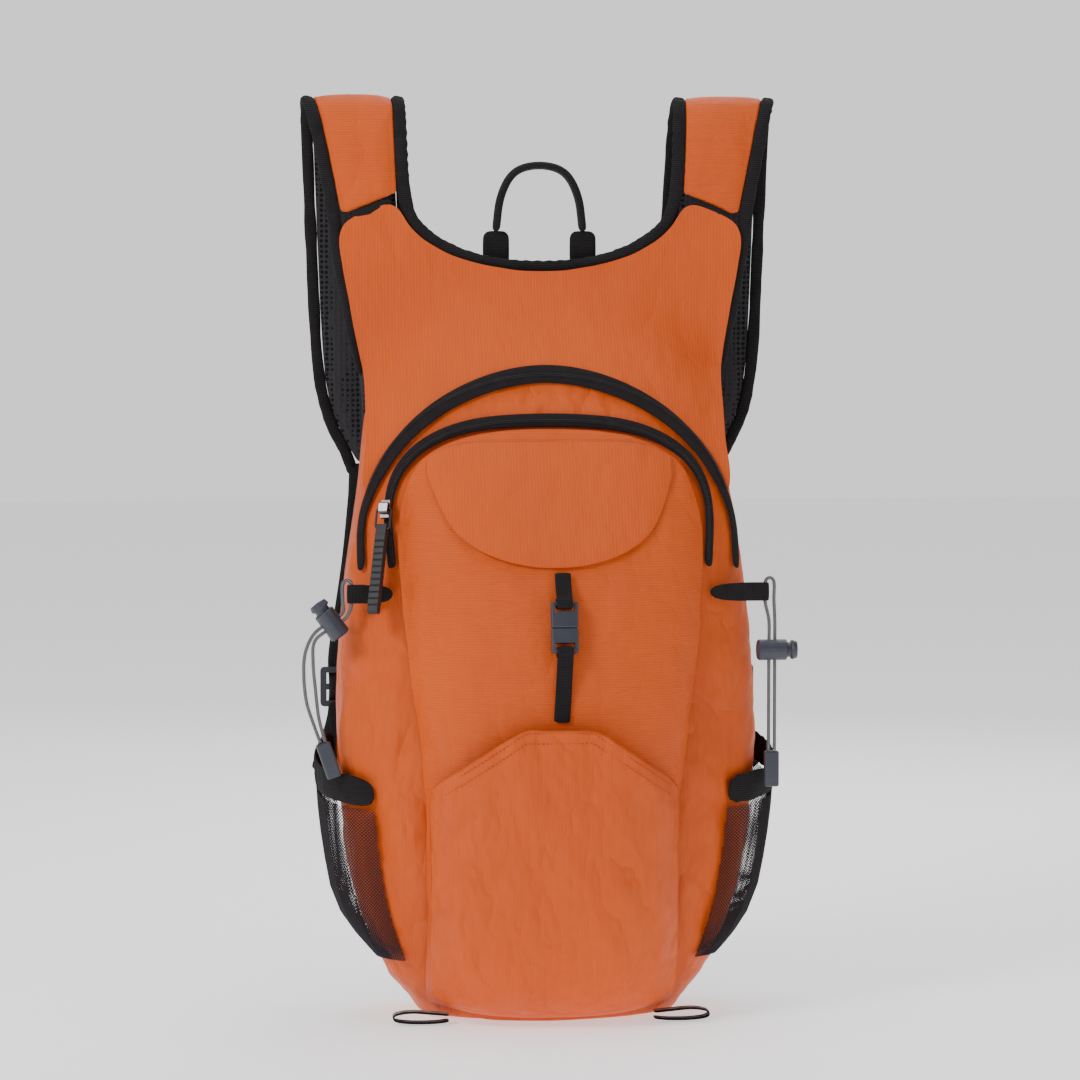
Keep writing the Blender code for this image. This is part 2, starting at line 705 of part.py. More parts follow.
def build_yoke():
    """The cloth yoke between the top of the body and the straps."""
    corner = NECK_REACH / yoke_half(1.0)
    half = [corner * t for t in (0.14, 0.28, 0.42, 0.56, 0.7, 0.8, 0.88, 0.94, 0.975, 1.0)]
    half += [lerp(corner, 1.0, t) for t in (0.25, 0.5, 0.75, 1.0)]
    columns = [-u for u in reversed(half)] + [0.0] + half
    inner, outer = [], []
    for v in spread(0, 1, 7):
        low_row, high_row = [], []
        for u in columns:
            top_x = u * yoke_half(1.0)
            top = upper_edge(top_x) - GAP
            low_x = u * yoke_half(0.0)
            low = max(dome_line(low_x), 0.84 * BODY_HEIGHT) + 1.2 * MM
            low = min(low + (3 * MM if abs(u) > 0.9 else 1.6 * MM), top - 3 * MM)
            z = lerp(low, top, v)
            x = lerp(low_x, top_x, v)
            low_row.append(Vector((x, BACK_Y, z)))
            high_row.append(Vector((x, BACK_Y - YOKE_THICK, z)))
        inner.append(low_row)
        outer.append(high_row)
    grid_shell("yoke", inner, outer, ORANGE, 0.6)


def strap_upper(t):
    """Centre x, y, z, half width and outward direction of the strap from its seam (0) to its fold (1)."""
    y = smooth_table(((0.0, BACK_Y - YOKE_THICK / 2), (0.45, BACK_Y - 2 * MM), (0.8, BACK_Y + 3 * MM),
                      (1.0, BACK_Y + 15 * MM)), t)
    low = (SEAM_INNER_Z + SEAM_OUTER_Z) / 2 + SEAM_BAND + GAP
    rise = STRAP_TOP_Z - STRAP_THICK / 2 - low
    z = low + rise * smooth_table(((0.0, 0.0), (0.45, 0.52), (0.8, 0.90), (1.0, 1.0)), t)
    x = lerp(STRAP_SEAM_X, STRAP_TOP_X, t)
    turn = smooth_table(((0.0, 0.0), (0.45, 0.05), (0.8, 0.45), (1.0, 1.0)), t) * math.pi / 2
    out = Vector((0, -math.cos(turn), math.sin(turn)))
    return x, y, z, lerp(STRAP_SEAM_HALF, STRAP_TOP_HALF, t), out


def strap_lower(t):
    """The same from the fold (0) down to the strap's end (1)."""
    lean = BACK_Y + 15 * MM + GAP
    y = lean + STRAP_LEAN * smooth_table(((0.0, 0.0), (0.05, 0.55), (0.12, 0.9), (0.3, 1.08), (1.0, 1.0)), t)
    top = STRAP_TOP_Z - STRAP_THICK / 2
    z = top - STRAP_DROP * smooth_table(((0.0, 0.0), (0.05, 0.025), (0.12, 0.09), (1.0, 1.0)), t)
    x = lerp(STRAP_TOP_X, STRAP_SEAM_X - 1 * MM, t)
    half = STRAP_TOP_HALF * smooth_table(((0.0, 1.0), (0.7, 1.04), (0.84, 0.95), (1.0, 0.45)), t)
    turn = smooth_table(((0.0, 0.0), (0.05, 0.35), (0.12, 0.75), (0.3, 1.0), (1.0, 1.0)), t) * math.pi / 2
    out = Vector((0, math.sin(turn), math.cos(turn)))
    return x, y, z, half, out


def strap_pad(name, side, line, steps, start, binding):
    """One padded half of a shoulder strap."""
    inner, outer = [], []
    for t in steps:
        x, y, z, half, out = line(t)
        core = half - binding
        low_row, high_row = [], []
        for u in spread(-1, 1, 7):
            edge = (seam_line(x + u * core) - seam_line(STRAP_SEAM_X)) * (1 - t) ** 2 if start else 0.0
            thick = lerp(3.2 * MM, STRAP_THICK, 1 - abs(u) ** 3)
            mid = Vector((side * (x + u * core), y, z + edge))
            low_row.append(mid - out * thick / 2)
            high_row.append(mid + out * thick / 2)
        inner.append(low_row)
        outer.append(high_row)
    return grid_shell(name, inner, outer, ORANGE if start else BLACK_NET, 0.7)


def edge_strip(name, path, outs, width, thick, folds=(0,)):
    """A binding that follows an edge, its thickness along the given directions."""
    rings = []
    for k, p in enumerate(path):
        ahead = path[min(k + 1, len(path) - 1)]
        behind = path[max(k - 1, 0)]
        tangent = (ahead - behind).normalized()
        wide = tangent.cross(outs[k]).normalized()
        out = wide.cross(tangent).normalized()
        rings.append([
            p - wide * width / 2 - out * thick / 2,
            p + wide * width / 2 - out * thick / 2,
            p + wide * width / 2 + out * thick / 2,
            p - wide * width / 2 + out * thick / 2,
        ])
    for k in folds:
        for p in rings[k]:
            p.y = path[k].y
    return rings_solid(name, rings, BLACK_WEB, 0.85)


def upper_edge_path(side, inside):
    """Points along one edge of the upper strap from its fold down to its seam, and their directions."""
    path, outs = [], []
    sign = -1.0 if inside else 1.0
    for t in (1.0, 0.93, 0.85, 0.7, 0.5, 0.3, 0.12):
        x, y, z, half, out = strap_upper(t)
        reach = x + sign * (half - BINDING_WIDTH / 2 + GAP)
        edge = (seam_line(reach) - seam_line(STRAP_SEAM_X)) * (1 - t) ** 2
        path.append(Vector((side * reach, y, z + edge)))
        outs.append(out)
    return path, outs


def build_harness():
    """Straps, seam bands and edge bindings."""
    thick = YOKE_THICK - 1.0 * MM
    left, left_out = upper_edge_path(-1.0, True)
    right, right_out = upper_edge_path(1.0, True)
    neck = []
    for x in spread(-0.965 * NECK_REACH, 0.965 * NECK_REACH, 23):
        slope = (neck_line(x + 0.5 * MM) - neck_line(x - 0.5 * MM)) / MM
        normal = Vector((-slope, 0, 1)).normalized()
        reach = BINDING_WIDTH / 2 + 3 * GAP
        neck.append(Vector((x, BACK_Y - YOKE_THICK / 2, neck_line(x))) + normal * reach)
    path = left + neck + list(reversed(right))
    outs = left_out + [Vector((0, -1, 0))] * len(neck) + list(reversed(right_out))
    edge_strip("neck_binding", path, outs, BINDING_WIDTH, thick, (0, -1))
    for side, word in ((-1.0, "left"), (1.0, "right")):
        strap_pad("strap_upper_" + word, side, strap_upper, spread(0, 1, 11), True, BINDING_WIDTH + GAP)
        steps = [0.0, 0.025, 0.05, 0.085, 0.12, 0.2, 0.3, 0.42, 0.54, 0.66, 0.76, 0.84, 0.91, 0.96, 1.0]
        strap_pad("strap_lower_" + word, side, strap_lower, steps, False, BINDING_WIDTH + GAP)
        rings = []
        for u in spread(-1, 1, 7):
            x = STRAP_SEAM_X + u * (STRAP_SEAM_HALF - BINDING_WIDTH - 4 * GAP)
            z = seam_line(x) + GAP
            top = z + SEAM_BAND - 2 * GAP
            front = BACK_Y - YOKE_THICK - 0.6 * MM
            rings.append([Vector((side * x, front, z)), Vector((side * x, BACK_Y - 1 * MM, z)),
                          Vector((side * x, BACK_Y - 1 * MM, top)), Vector((side * x, front, top))])
        rings_solid("seam_band_" + word, rings, BLACK_WEB, 0.85)
        path, outs = upper_edge_path(side, False)
        low_z = 0.84 * BODY_HEIGHT + 6 * MM
        for v in (0.9, 0.75, 0.55, 0.35, 0.18, 0.04):
            x = yoke_half(v) + BINDING_WIDTH / 2 + 1.3 * MM
            path.append(Vector((side * x, BACK_Y - YOKE_THICK / 2, lerp(low_z, SEAM_OUTER_Z, v))))
            outs.append(Vector((0, -1, 0)))
        edge_strip("side_binding_" + word, path, outs, BINDING_WIDTH, thick)
        path, outs = [], []
        for t in (0.0, 0.025, 0.05, 0.085, 0.12, 0.25, 0.4, 0.55, 0.7, 0.8, 0.88, 0.94, 0.985):
            x, y, z, half, out = strap_lower(t)
            path.append(Vector((side * (x + half - BINDING_WIDTH / 2 + GAP), y, z)))
            outs.append(out)
        x, y, z, half, out = strap_lower(1.0)
        low = z - BINDING_WIDTH / 2 - 2 * GAP
        for u in (0.8, 0.4, 0.0, -0.4, -0.8):
            path.append(Vector((side * (x + u * (half - 0.5 * MM)), y, low + (1 - abs(u)) * 0.2 * MM)))
            outs.append(out)
        for t in (0.985, 0.94, 0.88, 0.8, 0.7, 0.55, 0.4, 0.25, 0.12, 0.085, 0.05, 0.025, 0.0):
            x, y, z, half, out = strap_lower(t)
            path.append(Vector((side * (x - half + BINDING_WIDTH / 2 - GAP), y, z)))
            outs.append(out)
        edge_strip("strap_binding_" + word, path, outs, BINDING_WIDTH - 1 * MM, 3.4 * MM, (0, -1))
        build_strap_end(side, word)


def plate_with_holes(name, outline, holes, thick, place_at, colour, roughness, metallic=0.0):
    """A flat plate with through holes, from 2D outlines, moved to its place."""
    data = bpy.data.curves.new(name, "CURVE")
    data.dimensions = "2D"
    data.fill_mode = "BOTH"
    data.extrude = thick / 2
    for loop in [outline] + holes:
        spline = data.splines.new("POLY")
        spline.points.add(len(loop) - 1)
        for k, (u, v) in enumerate(loop):
            spline.points[k].co = (u, v, 0, 1)
        spline.use_cyclic_u = True
    curve = bpy.data.objects.new(name + "_curve", data)
    COLLECTION.objects.link(curve)
    graph = bpy.context.evaluated_depsgraph_get()
    mesh = bpy.data.meshes.new_from_object(curve.evaluated_get(graph))
    bpy.data.objects.remove(curve, do_unlink=True)
    bm = bmesh.new()
    bm.from_mesh(mesh)
    bmesh.ops.remove_doubles(bm, verts=bm.verts, dist=1e-6)
    for vert in bm.verts:
        vert.co = place_at(vert.co.x, vert.co.y, vert.co.z)
    face_out(bm)
    bm.to_mesh(mesh)
    bm.free()
    mesh.name = name
    return add_object(name, mesh, colour, roughness, metallic, smooth=False)


def rectangle(x0, x1, y0, y1, corner=0.0, steps=3):
    """A rectangle's outline with rounded corners."""
    if corner <= 0:
        return [(x0, y0), (x1, y0), (x1, y1), (x0, y1)]
    found = []
    for cx, cy, turn in ((x1 - corner, y0 + corner, -90), (x1 - corner, y1 - corner, 0),
                         (x0 + corner, y1 - corner, 90), (x0 + corner, y0 + corner, 180)):
        for k in range(steps + 1):
            angle = math.radians(turn + 90 * k / steps)
            found.append((cx + corner * math.cos(angle), cy + corner * math.sin(angle)))
    return found


def ladder_x():
    """X of the ladder locks: the webbing shows just past the body's side."""
    return half_width(LADDER_Z) - 6 * MM


LADDER_Y = BACK_Y + BACK_THICK + 6.5 * MM


def build_strap_end(side, word):
    """The strap's webbing, its ladder lock and the tab that holds the lock."""
    x, y, z, _, _ = strap_lower(1.0)
    lx = ladder_x()
    lz = LADDER_Z
    run = lerp(x, lx, 0.5) - x - 3 * MM
    fall = 0.4 * (z - BINDING_WIDTH - lz)
    low = z - BINDING_WIDTH - STRAP_WEB_GAP - STRAP_WEB_WIDTH / 2 * run / math.hypot(run, fall)
    step = 2.6 * MM
    route = [
        (x + 3 * MM, y, low), (lerp(x, lx, 0.5), lerp(y, LADDER_Y + step, 0.45), lerp(low, lz, 0.4)),
        (lx, LADDER_Y + step + 0.5 * MM, lz + 22 * MM),
        (lx, LADDER_Y + step, lz + 9 * MM), (lx, LADDER_Y + step, lz + 7.0 * MM),
        (lx, LADDER_Y - step, lz + 4.0 * MM), (lx, LADDER_Y - step, lz), (lx, LADDER_Y - step, lz - 4.0 * MM),
        (lx, LADDER_Y + step, lz - 7.0 * MM), (lx, LADDER_Y + step, lz - 9 * MM),
        (lx + 2 * MM, LADDER_Y + step + 1 * MM, lz - 24 * MM),
        (lx + 12 * MM, LADDER_Y + step + 5 * MM, lz - 56 * MM),
    ]
    path = [Vector((side * p[0], p[1], p[2])) for p in curve_points(route, 46)]
    rings = web_rings(path, Vector((1, 0, 0)), STRAP_WEB_WIDTH, WEB_THICK)
    rings_solid("strap_webbing_" + word, rings, BLACK_WEB, 0.85)
    half = LADDER_WIDTH / 2 + 1.5 * MM
    slot = STRAP_WEB_WIDTH / 2 + 0.6 * MM
    tall = LADDER_BAR * 1.5 + LADDER_SLOT
    holes = [
        rectangle(-slot, slot, LADDER_BAR / 2, LADDER_BAR / 2 + LADDER_SLOT),
        rectangle(-slot, slot, -LADDER_BAR / 2 - LADDER_SLOT, -LADDER_BAR / 2),
    ]

    def lay(u, v, w):
        return Vector((side * (lx + u), LADDER_Y + w, lz + v))

    outline = rectangle(-half, half, -tall, tall, 2.5 * MM)
    plate_with_holes("ladder_lock_" + word, outline, holes, LADDER_THICK, lay, SLATE, 0.4)
    front = LADDER_Y - LADDER_THICK / 2 - GAP - WEB_THICK / 2
    route = [(lx, front, lz - tall + LADDER_BAR), (lx, front, lz - tall - 2 * MM),
             (lx, front - 1.0 * MM, lz - tall - 8 * MM),
             (lx - 1 * MM, front - 2.0 * MM, lz - tall - 22 * MM)]
    path = [Vector((side * p[0], p[1], p[2])) for p in curve_points(route, 9)]
    rings = web_rings(path, Vector((1, 0, 0)), STRAP_WEB_WIDTH, WEB_THICK)
    rings_solid("lock_tab_" + word, rings, BLACK_WEB, 0.85)


def build_handle():
    """The webbing grab handle and the two ribbed tabs at its feet."""
    y = BACK_Y + 5.5 * MM
    foot = HANDLE_TAB_TOP + GAP
    top = HANDLE_TOP_Z
    route = [(-HANDLE_HALF - 2 * MM, y, foot), (-HANDLE_HALF + 1 * MM, y, lerp(foot, top, 0.5)),
             (-HANDLE_HALF * 0.62, y, lerp(foot, top, 0.86)), (0, y, top - HANDLE_THICK / 2),
             (HANDLE_HALF * 0.62, y, lerp(foot, top, 0.86)), (HANDLE_HALF - 1 * MM, y, lerp(foot, top, 0.5)),
             (HANDLE_HALF + 2 * MM, y, foot)]
    path = curve_points(route, 25)
    rings = web_rings(path, Vector((0, 1, 0)), HANDLE_WIDTH, HANDLE_THICK)
    for ring, sign in ((rings[0], 1), (rings[-1], 1)):
        for p in ring:
            p.z = foot
    rings_solid("grab_handle", rings, BLACK_WEB, 0.85)
    for side, word in ((-1.0, "left"), (1.0, "right")):
        low = neck_line(HANDLE_HALF + HANDLE_TAB_WIDTH / 2) + 1.2 * MM
        half = HANDLE_TAB_WIDTH / 2
        high = HANDLE_TAB_TOP

        def lay(u, v, w, side=side):
            return Vector((side * (HANDLE_HALF + 2 * MM + u), y + w, v))

        outline = rectangle(-half, half, low, high, 5 * MM, 4)
        plate_with_holes("handle_tab_" + word, outline, [], 3 * MM, lay, BLACK_WEB, 0.85)


def local_frame(point, normal, along):
    """A function that turns local across, along and outward distances into a place."""
    out = normal.normalized()
    up = (along - out * along.dot(out)).normalized()
    across = up.cross(out).normalized()

    def lay(u, v, w):
        return point + across * u + up * v + out * w

    return lay


def skin_frame(x, z, off=0.0):
    """A local frame on the front pocket at (x, z)."""
    here = pocket_skin(x, z, off)
    up = pocket_skin(x, z + 6 * MM, off) - pocket_skin(x, z - 6 * MM, off)
    across = pocket_skin(x + 6 * MM, z, off) - pocket_skin(x - 6 * MM, z, off)
    return local_frame(here, across.cross(up), up)


def box_mesh(name, sizes, lay, bevel, colour, roughness, metallic=0.0):
    """A bevelled box given by its low and high local corners."""
    (u0, u1), (v0, v1), (w0, w1) = sizes
    bm = bmesh.new()
    bmesh.ops.create_cube(bm, size=1.0)
    for vert in bm.verts:
        vert.co = Vector((lerp(u0, u1, vert.co.x + 0.5), lerp(v0, v1, vert.co.y + 0.5),
                          lerp(w0, w1, vert.co.z + 0.5)))
    if bevel > 0:
        bmesh.ops.bevel(bm, geom=list(bm.edges), offset=bevel, segments=2, profile=0.5, affect="EDGES")
    for vert in bm.verts:
        vert.co = lay(vert.co.x, vert.co.y, vert.co.z)
    face_out(bm)
    mesh = bpy.data.meshes.new(name)
    bm.to_mesh(mesh)
    bm.free()
    return add_object(name, mesh, colour, roughness, metallic, smooth=False)


def cutter(sizes, lay):
    """A box that a Boolean takes away."""
    obj = box_mesh("cut", sizes, lay, 0.0, SLATE, 0.5)
    COLLECTION.objects.unlink(obj)
    CUTTERS.objects.link(obj)
    obj.hide_render = True
    obj.display_type = "WIRE"
    return obj


def cut(obj, tool, operation="DIFFERENCE"):
    """Adds one exact Boolean."""
    step = obj.modifiers.new(operation.title(), "BOOLEAN")
    step.operation = operation
    step.solver = "EXACT"
    step.object = tool


def build_buckle():
    """The small side-release buckle and its two webbings."""
    lay = skin_frame(BUCKLE_X, BUCKLE_Z, 2.4 * MM)
    half = BUCKLE_WIDTH / 2
    web = FRONT_WEB_WIDTH / 2
    female = box_mesh("buckle_female", ((-half, half), (0, 15.5 * MM), (0, 6 * MM)), lay, 0.8 * MM, SLATE, 0.4)
    cut(female, cutter(((-half + 1.4 * MM, half - 1.4 * MM), (-1 * MM, 8.4 * MM), (1.3 * MM, 4.7 * MM)), lay))
    cut(female, cutter(((-web - 0.6 * MM, web + 0.6 * MM), (9.6 * MM, 13.4 * MM), (-1 * MM, 7 * MM)), lay))
    male = box_mesh("buckle_male", ((-half, half), (-15 * MM, -GAP), (0, 6 * MM)), lay, 0.8 * MM, SLATE, 0.4)
    tongue = ((-half + 1.8 * MM, half - 1.8 * MM), (-2 * MM, 8.0 * MM), (1.7 * MM, 4.3 * MM))
    cut(male, cutter(tongue, lay), "UNION")
    for s in (-1, 1):
        u0, u1 = sorted((s * 1.6 * MM, s * 3.6 * MM))
        cut(male, cutter(((u0, u1), (0.6 * MM, 9 * MM), (0, 6 * MM)), lay))
    cut(male, cutter(((-web - 0.6 * MM, web + 0.6 * MM), (-12.9 * MM, -9.0 * MM), (-1 * MM, 7 * MM)), lay))
    bar = 14.2 * MM
    over = [(4.8, 4.6, 0.0), (1.7, 7.5, 0.0), (-1.5, 7.0, 0.0), (-2.6, 3.0, 0.0), (-1.5, -0.9, 0.0),
            (0.9, -0.9, 0.0), (4.2, -0.7, 0.0)]
    top = BADGE_LOW_Z - 2 * MM
    middle = (top + BUCKLE_Z) / 2 + 10 * MM
    route = [tuple(pocket_skin(BUCKLE_X, top, 2.2 * MM)), tuple(pocket_skin(BUCKLE_X, middle, 2.6 * MM))]
    route += [tuple(lay(0, bar + v * MM, w * MM)) for v, w, _ in over]
    path = curve_points(route, 40)
    rings = web_rings(path, Vector((1, 0, 0)), FRONT_WEB_WIDTH, 1.0 * MM)
    rings_solid("upper_webbing", rings, BLACK_WEB, 0.85)
    foot = STASH_TOP_Z + 1.5 * MM
    bar = -13.8 * MM
    route = [tuple(pocket_skin(BUCKLE_X - 2 * MM, foot, 1.4 * MM)),
             tuple(pocket_skin(BUCKLE_X - 1 * MM, foot + 14 * MM, 2.0 * MM))]
    route += [tuple(lay(0, bar - v * MM, w * MM)) for v, w, _ in over]
    path = curve_points(route, 44)
    rings = web_rings(path, Vector((1, 0, 0)), FRONT_WEB_WIDTH, 1.0 * MM)
    rings_solid("lower_webbing", rings, BLACK_WEB, 0.85)


def turned(name, profile, origin, axis, steps, colour, roughness, metallic=0.0):
    """A turned piece: a closed profile of (radius, along) points spun round an axis through origin."""
    out = axis.normalized()
    side = out.orthogonal().normalized()
    other = out.cross(side)
    rings = []
    for k in range(steps):
        angle = 2 * math.pi * k / steps
        arm = side * math.cos(angle) + other * math.sin(angle)
        rings.append([origin + arm * r + out * h for r, h in profile])
    return rings_solid(name, rings, colour, roughness, metallic, True, True)



def side_frame(side):
    """Centre, plunger direction and cord direction of the lock on one side."""
    if side > 0:
        z = TAB_Z - LOCK_DROP_RIGHT
        return Vector((wall_x(CORD_Y, z) + LOCK_OUT_RIGHT, CORD_Y, z)), Vector((1, 0, 0)), Vector((0, 0, -1))
    z = TAB_Z - LOCK_DROP_LEFT
    out = Vector((-0.59, 0, 0.807)).normalized()
    down = Vector((-out.z, 0, out.x)).normalized()
    return Vector((-wall_x(CORD_Y, z) - LOCK_OUT_LEFT, CORD_Y, z)), out, down


def build_side_cord(side, word):
    """The tab, the doubled cord, its lock and its end on one side."""
    centre, out, down = side_frame(side)
    turn_x = wall_x(CORD_Y, TAB_Z) + (TAB_OUT_RIGHT if side > 0 else TAB_OUT_LEFT)
    gap = 2.3 * MM
    front_x = back_x = 0.0
    while body_point(across_for(front_x, TAB_Z), TAB_Z).y < CORD_Y - gap - 1 * MM:
        front_x += 0.25 * MM
    back_x = front_x
    while body_point(across_for(back_x, TAB_Z), TAB_Z).y < CORD_Y + gap + 1 * MM:
        back_x += 0.25 * MM
    front_x += 7.5 * MM
    back_x += 2.4 * MM
    route = [(front_x, CORD_Y - gap, TAB_Z), (turn_x - 5 * MM, CORD_Y - gap, TAB_Z),
             (turn_x, CORD_Y - gap, TAB_Z), (turn_x + gap, CORD_Y, TAB_Z), (turn_x, CORD_Y + gap, TAB_Z),
             (turn_x - 4 * MM, CORD_Y + gap, TAB_Z), (back_x, CORD_Y + gap, TAB_Z)]
    path = [Vector((side * p[0], p[1], p[2])) for p in curve_points(route, 20)]
    rings_solid("side_tab_" + word, web_rings(path, Vector((0, 0, 1)), TAB_WIDTH, 1.2 * MM), BLACK_WEB, 0.85)
    top = TAB_Z + TAB_WIDTH / 2
    pitch = CORD_PITCH / 2
    if side > 0:
        end_z = TAB_Z - END_DROP_RIGHT
        end_top = Vector((half_width(end_z) + END_OUT_RIGHT, CORD_Y, end_z))
        end_dir = Vector((0, 0, -1))
        inner = [(132.7, 164.4), (132.7, 190), (132.7, 225), (132.7, 243)]
        outer = [(136.3, 243), (136.3, 225), (136.3, 190), (136.3, 164.4)]
    else:
        end_z = TAB_Z - END_DROP_LEFT
        end_top = Vector((-half_width(end_z) - END_OUT_LEFT, CORD_Y, end_z))
        end_dir = Vector((0.33, 0, -0.94)).normalized()
        a1 = centre - out * pitch
        a2 = centre + out * pitch
        low1, low2 = a1 + down * 14 * MM, a2 + down * 12 * MM
        high1, high2 = a1 - down * 9 * MM, a2 - down * 9 * MM
        spot1 = end_top - end_dir * GAP * 1.5 + Vector((1.6, 0, 0.6)) * MM
        spot2 = end_top - end_dir * GAP * 1.5 - Vector((1.6, 0, 0.0)) * MM
        inner = [(-spot1.x / MM, spot1.z / MM), (140.2, 186), (142.2, 203), (143.6, 220),
                 (-low1.x / MM, low1.z / MM), (-a1.x / MM, a1.z / MM), (-high1.x / MM, high1.z / MM)]
        outer = [(-high2.x / MM, high2.z / MM), (-a2.x / MM, a2.z / MM), (-low2.x / MM, low2.z / MM),
                 (148.2, 226), (149.2, 212), (147.6, 196), (143.2, 182), (-spot2.x / MM, spot2.z / MM)]
    wrap = [(turn_x / MM - 0.7, TAB_Z / MM - 6), (turn_x / MM - 0.7, TAB_Z / MM + 5.6),
            (turn_x / MM + 2.1, top / MM + 2.4), (turn_x / MM + 4.7, TAB_Z / MM + 5.6),
            (turn_x / MM + 4.7, TAB_Z / MM - 5)]
    route = [(x * MM, CORD_Y, z * MM) for x, z in inner + wrap + outer]
    data = bpy.data.curves.new("side_cord_" + word, "CURVE")
    data.dimensions = "3D"
    data.bevel_depth = CORD_RADIUS
    data.bevel_resolution = 1
    data.use_fill_caps = True
    spline = data.splines.new("POLY")
    points = curve_points(route, 64)
    spline.points.add(len(points) - 1)
    for k, p in enumerate(points):
        spline.points[k].co = (side * p.x, p.y, p.z, 1)
    cord = bpy.data.objects.new("side_cord_" + word, data)
    data.materials.append(material("side_cord_" + word, BLACK_WEB, 0.9))
    COLLECTION.objects.link(cord)
    wall = 1.4 * MM
    half = LOCK_LENGTH / 2 + 1.5 * MM
    bore = LOCK_RADIUS - 1.5 * MM
    profile = [(0.01 * MM, -half), (LOCK_RADIUS - 1 * MM, -half), (LOCK_RADIUS, -half + 1 * MM),
               (LOCK_RADIUS, half - 0.6 * MM), (LOCK_RADIUS - 0.6 * MM, half), (bore, half),
               (bore, -half + wall), (0.01 * MM, -half + wall)]
    barrel = turned("cord_lock_" + word, profile, centre, out, 20, SLATE, 0.4)
    lay = local_frame(centre, out, down)
    hole = ((-1.65 * MM, 1.65 * MM), (-12 * MM, 12 * MM), (-3.3 * MM, 3.3 * MM))
    cut(barrel, cutter(hole, lay))
    stem = bore - 0.35 * MM
    head = half + PLUNGER_PRESS + 0.4 * MM
    low = -3.3 * MM - 1.5 * MM
    profile = [(0.01 * MM, low), (stem - 0.4 * MM, low), (stem, low + 0.4 * MM), (stem, head),
               (LOCK_RADIUS - 0.8 * MM, head), (LOCK_RADIUS - 0.4 * MM, head + 1 * MM),
               (LOCK_RADIUS - 1.2 * MM, head + 3.6 * MM), (0.01 * MM, head + 4.2 * MM)]
    plunger = turned("lock_plunger_" + word, profile, centre, out, 20, SLATE, 0.4)
    hole = ((-1.65 * MM, 1.65 * MM), (-12 * MM, 12 * MM), (-3.4 * MM, 3.4 * MM + PLUNGER_PRESS))
    cut(plunger, cutter(hole, lay))
    lay = local_frame(end_top, Vector((0, -1, 0)), -end_dir)
    box_mesh("cord_end_" + word, ((-END_WIDTH / 2, END_WIDTH / 2), (-END_LENGTH, 0), (-2.5 * MM, 2.5 * MM)),
             lay, 1.2 * MM, SLATE, 0.4)


def build_lash(side, word):
    """A flat webbing loop at a lower front corner."""
    start = wall_x(LASH_Y + LASH_WIDTH / 2, LASH_HEIGHT) + LASH_OUT
    route = [(0, 5.6), (10, 6.6), (24, 7.6), (34, 5.8), (33.5, 2.6), (22, 1.1), (8, 1.2), (0, 2.2)]
    points = curve_points([(start + a * MM, LASH_Y, c * MM) for a, c in route], 22)
    path = [Vector((side * p.x, p.y, p.z)) for p in points]
    rings_solid("lash_loop_" + word, web_rings(path, Vector((0, 1, 0)), LASH_WIDTH, WEB_THICK), BLACK_WEB, 0.85)


def build_pull(prefix, lay, long):
    """A zip slider with its ring and pull, in a local frame on the tape."""
    bump = [(-5.5 * MM, 0), (5.5 * MM, 0), (5.5 * MM, 2.6 * MM), (3.4 * MM, 2.8 * MM), (3.2 * MM, 5.6 * MM),
            (2.4 * MM, 6.4 * MM), (-2.4 * MM, 6.4 * MM), (-3.2 * MM, 5.6 * MM), (-3.4 * MM, 2.8 * MM),
            (-5.5 * MM, 2.6 * MM)]
    hole = rectangle(-1.6 * MM, 1.6 * MM, 2.4 * MM, 5.0 * MM)

    def turn(u, v, w):
        return lay(w, u, v)

    plate_with_holes(prefix + "_slider", bump, [hole], 5.4 * MM, turn, METAL, 0.35, 1.0)
    wire = 0.7 * MM
    level = 3.7 * MM
    ring = []
    for u, v in rectangle(-4.6 * MM, 4.6 * MM, -13 * MM, 0, 2.2 * MM, 4):
        ring.append(lay(u, v, level))
    rings = []
    n = len(ring)
    mid = lay(0, 0, 1) - lay(0, 0, 0)
    for k, p in enumerate(ring):
        tangent = (ring[(k + 1) % n] - ring[k - 1]).normalized()
        side = tangent.cross(mid).normalized()
        rings.append([p + (side * math.cos(t) + mid * math.sin(t)) * wire
                      for t in [2 * math.pi * j / 8 for j in range(8)]])
    rings_solid(prefix + "_ring", rings, METAL, 0.3, 1.0, True, True)
    eye = -13 * MM
    outline = [(eye + 2.6 * MM, -1.7 * MM), (eye + 2.6 * MM, 1.7 * MM), (eye - 3 * MM, 2.4 * MM)]
    steps = int(long / (4 * MM))
    for k in range(steps):
        v = eye - 5 * MM - k * 4 * MM
        outline += [(v, 2.7 * MM), (v - 2.4 * MM, 2.7 * MM), (v - 3 * MM, 2.1 * MM)]
    foot = eye - 5 * MM - steps * 4 * MM
    outline += [(foot, 1.6 * MM), (foot, -1.6 * MM)]
    for k in reversed(range(steps)):
        v = eye - 5 * MM - k * 4 * MM
        outline += [(v - 3 * MM, -2.1 * MM), (v - 2.4 * MM, -2.7 * MM), (v, -2.7 * MM)]
    outline += [(eye - 3 * MM, -2.4 * MM)]
    hole = rectangle(eye - 1.1 * MM, eye + 1.1 * MM, -1.0 * MM, 1.0 * MM)

    def swing(u, v, w):
        return lay(w, u, level + v)

    plate_with_holes(prefix + "_pull", outline, [hole], 6.4 * MM, swing, BLACK_WEB, 0.6)


def tape_frame(x, z, lean):
    """A local frame on a zip tape, its up direction leaned towards the arch."""
    a = across_for(x, z)
    here = place(a, z, GAP + ZIP_THICK + 0.6 * MM)
    up = body_point(across_for(x + lean * 10 * MM, z + 10 * MM), z + 10 * MM) - body_point(a, z)
    out = body_normal(a, z)
    return local_frame(here + out * 0.6 * MM, out + up.normalized() * 0.075, up)


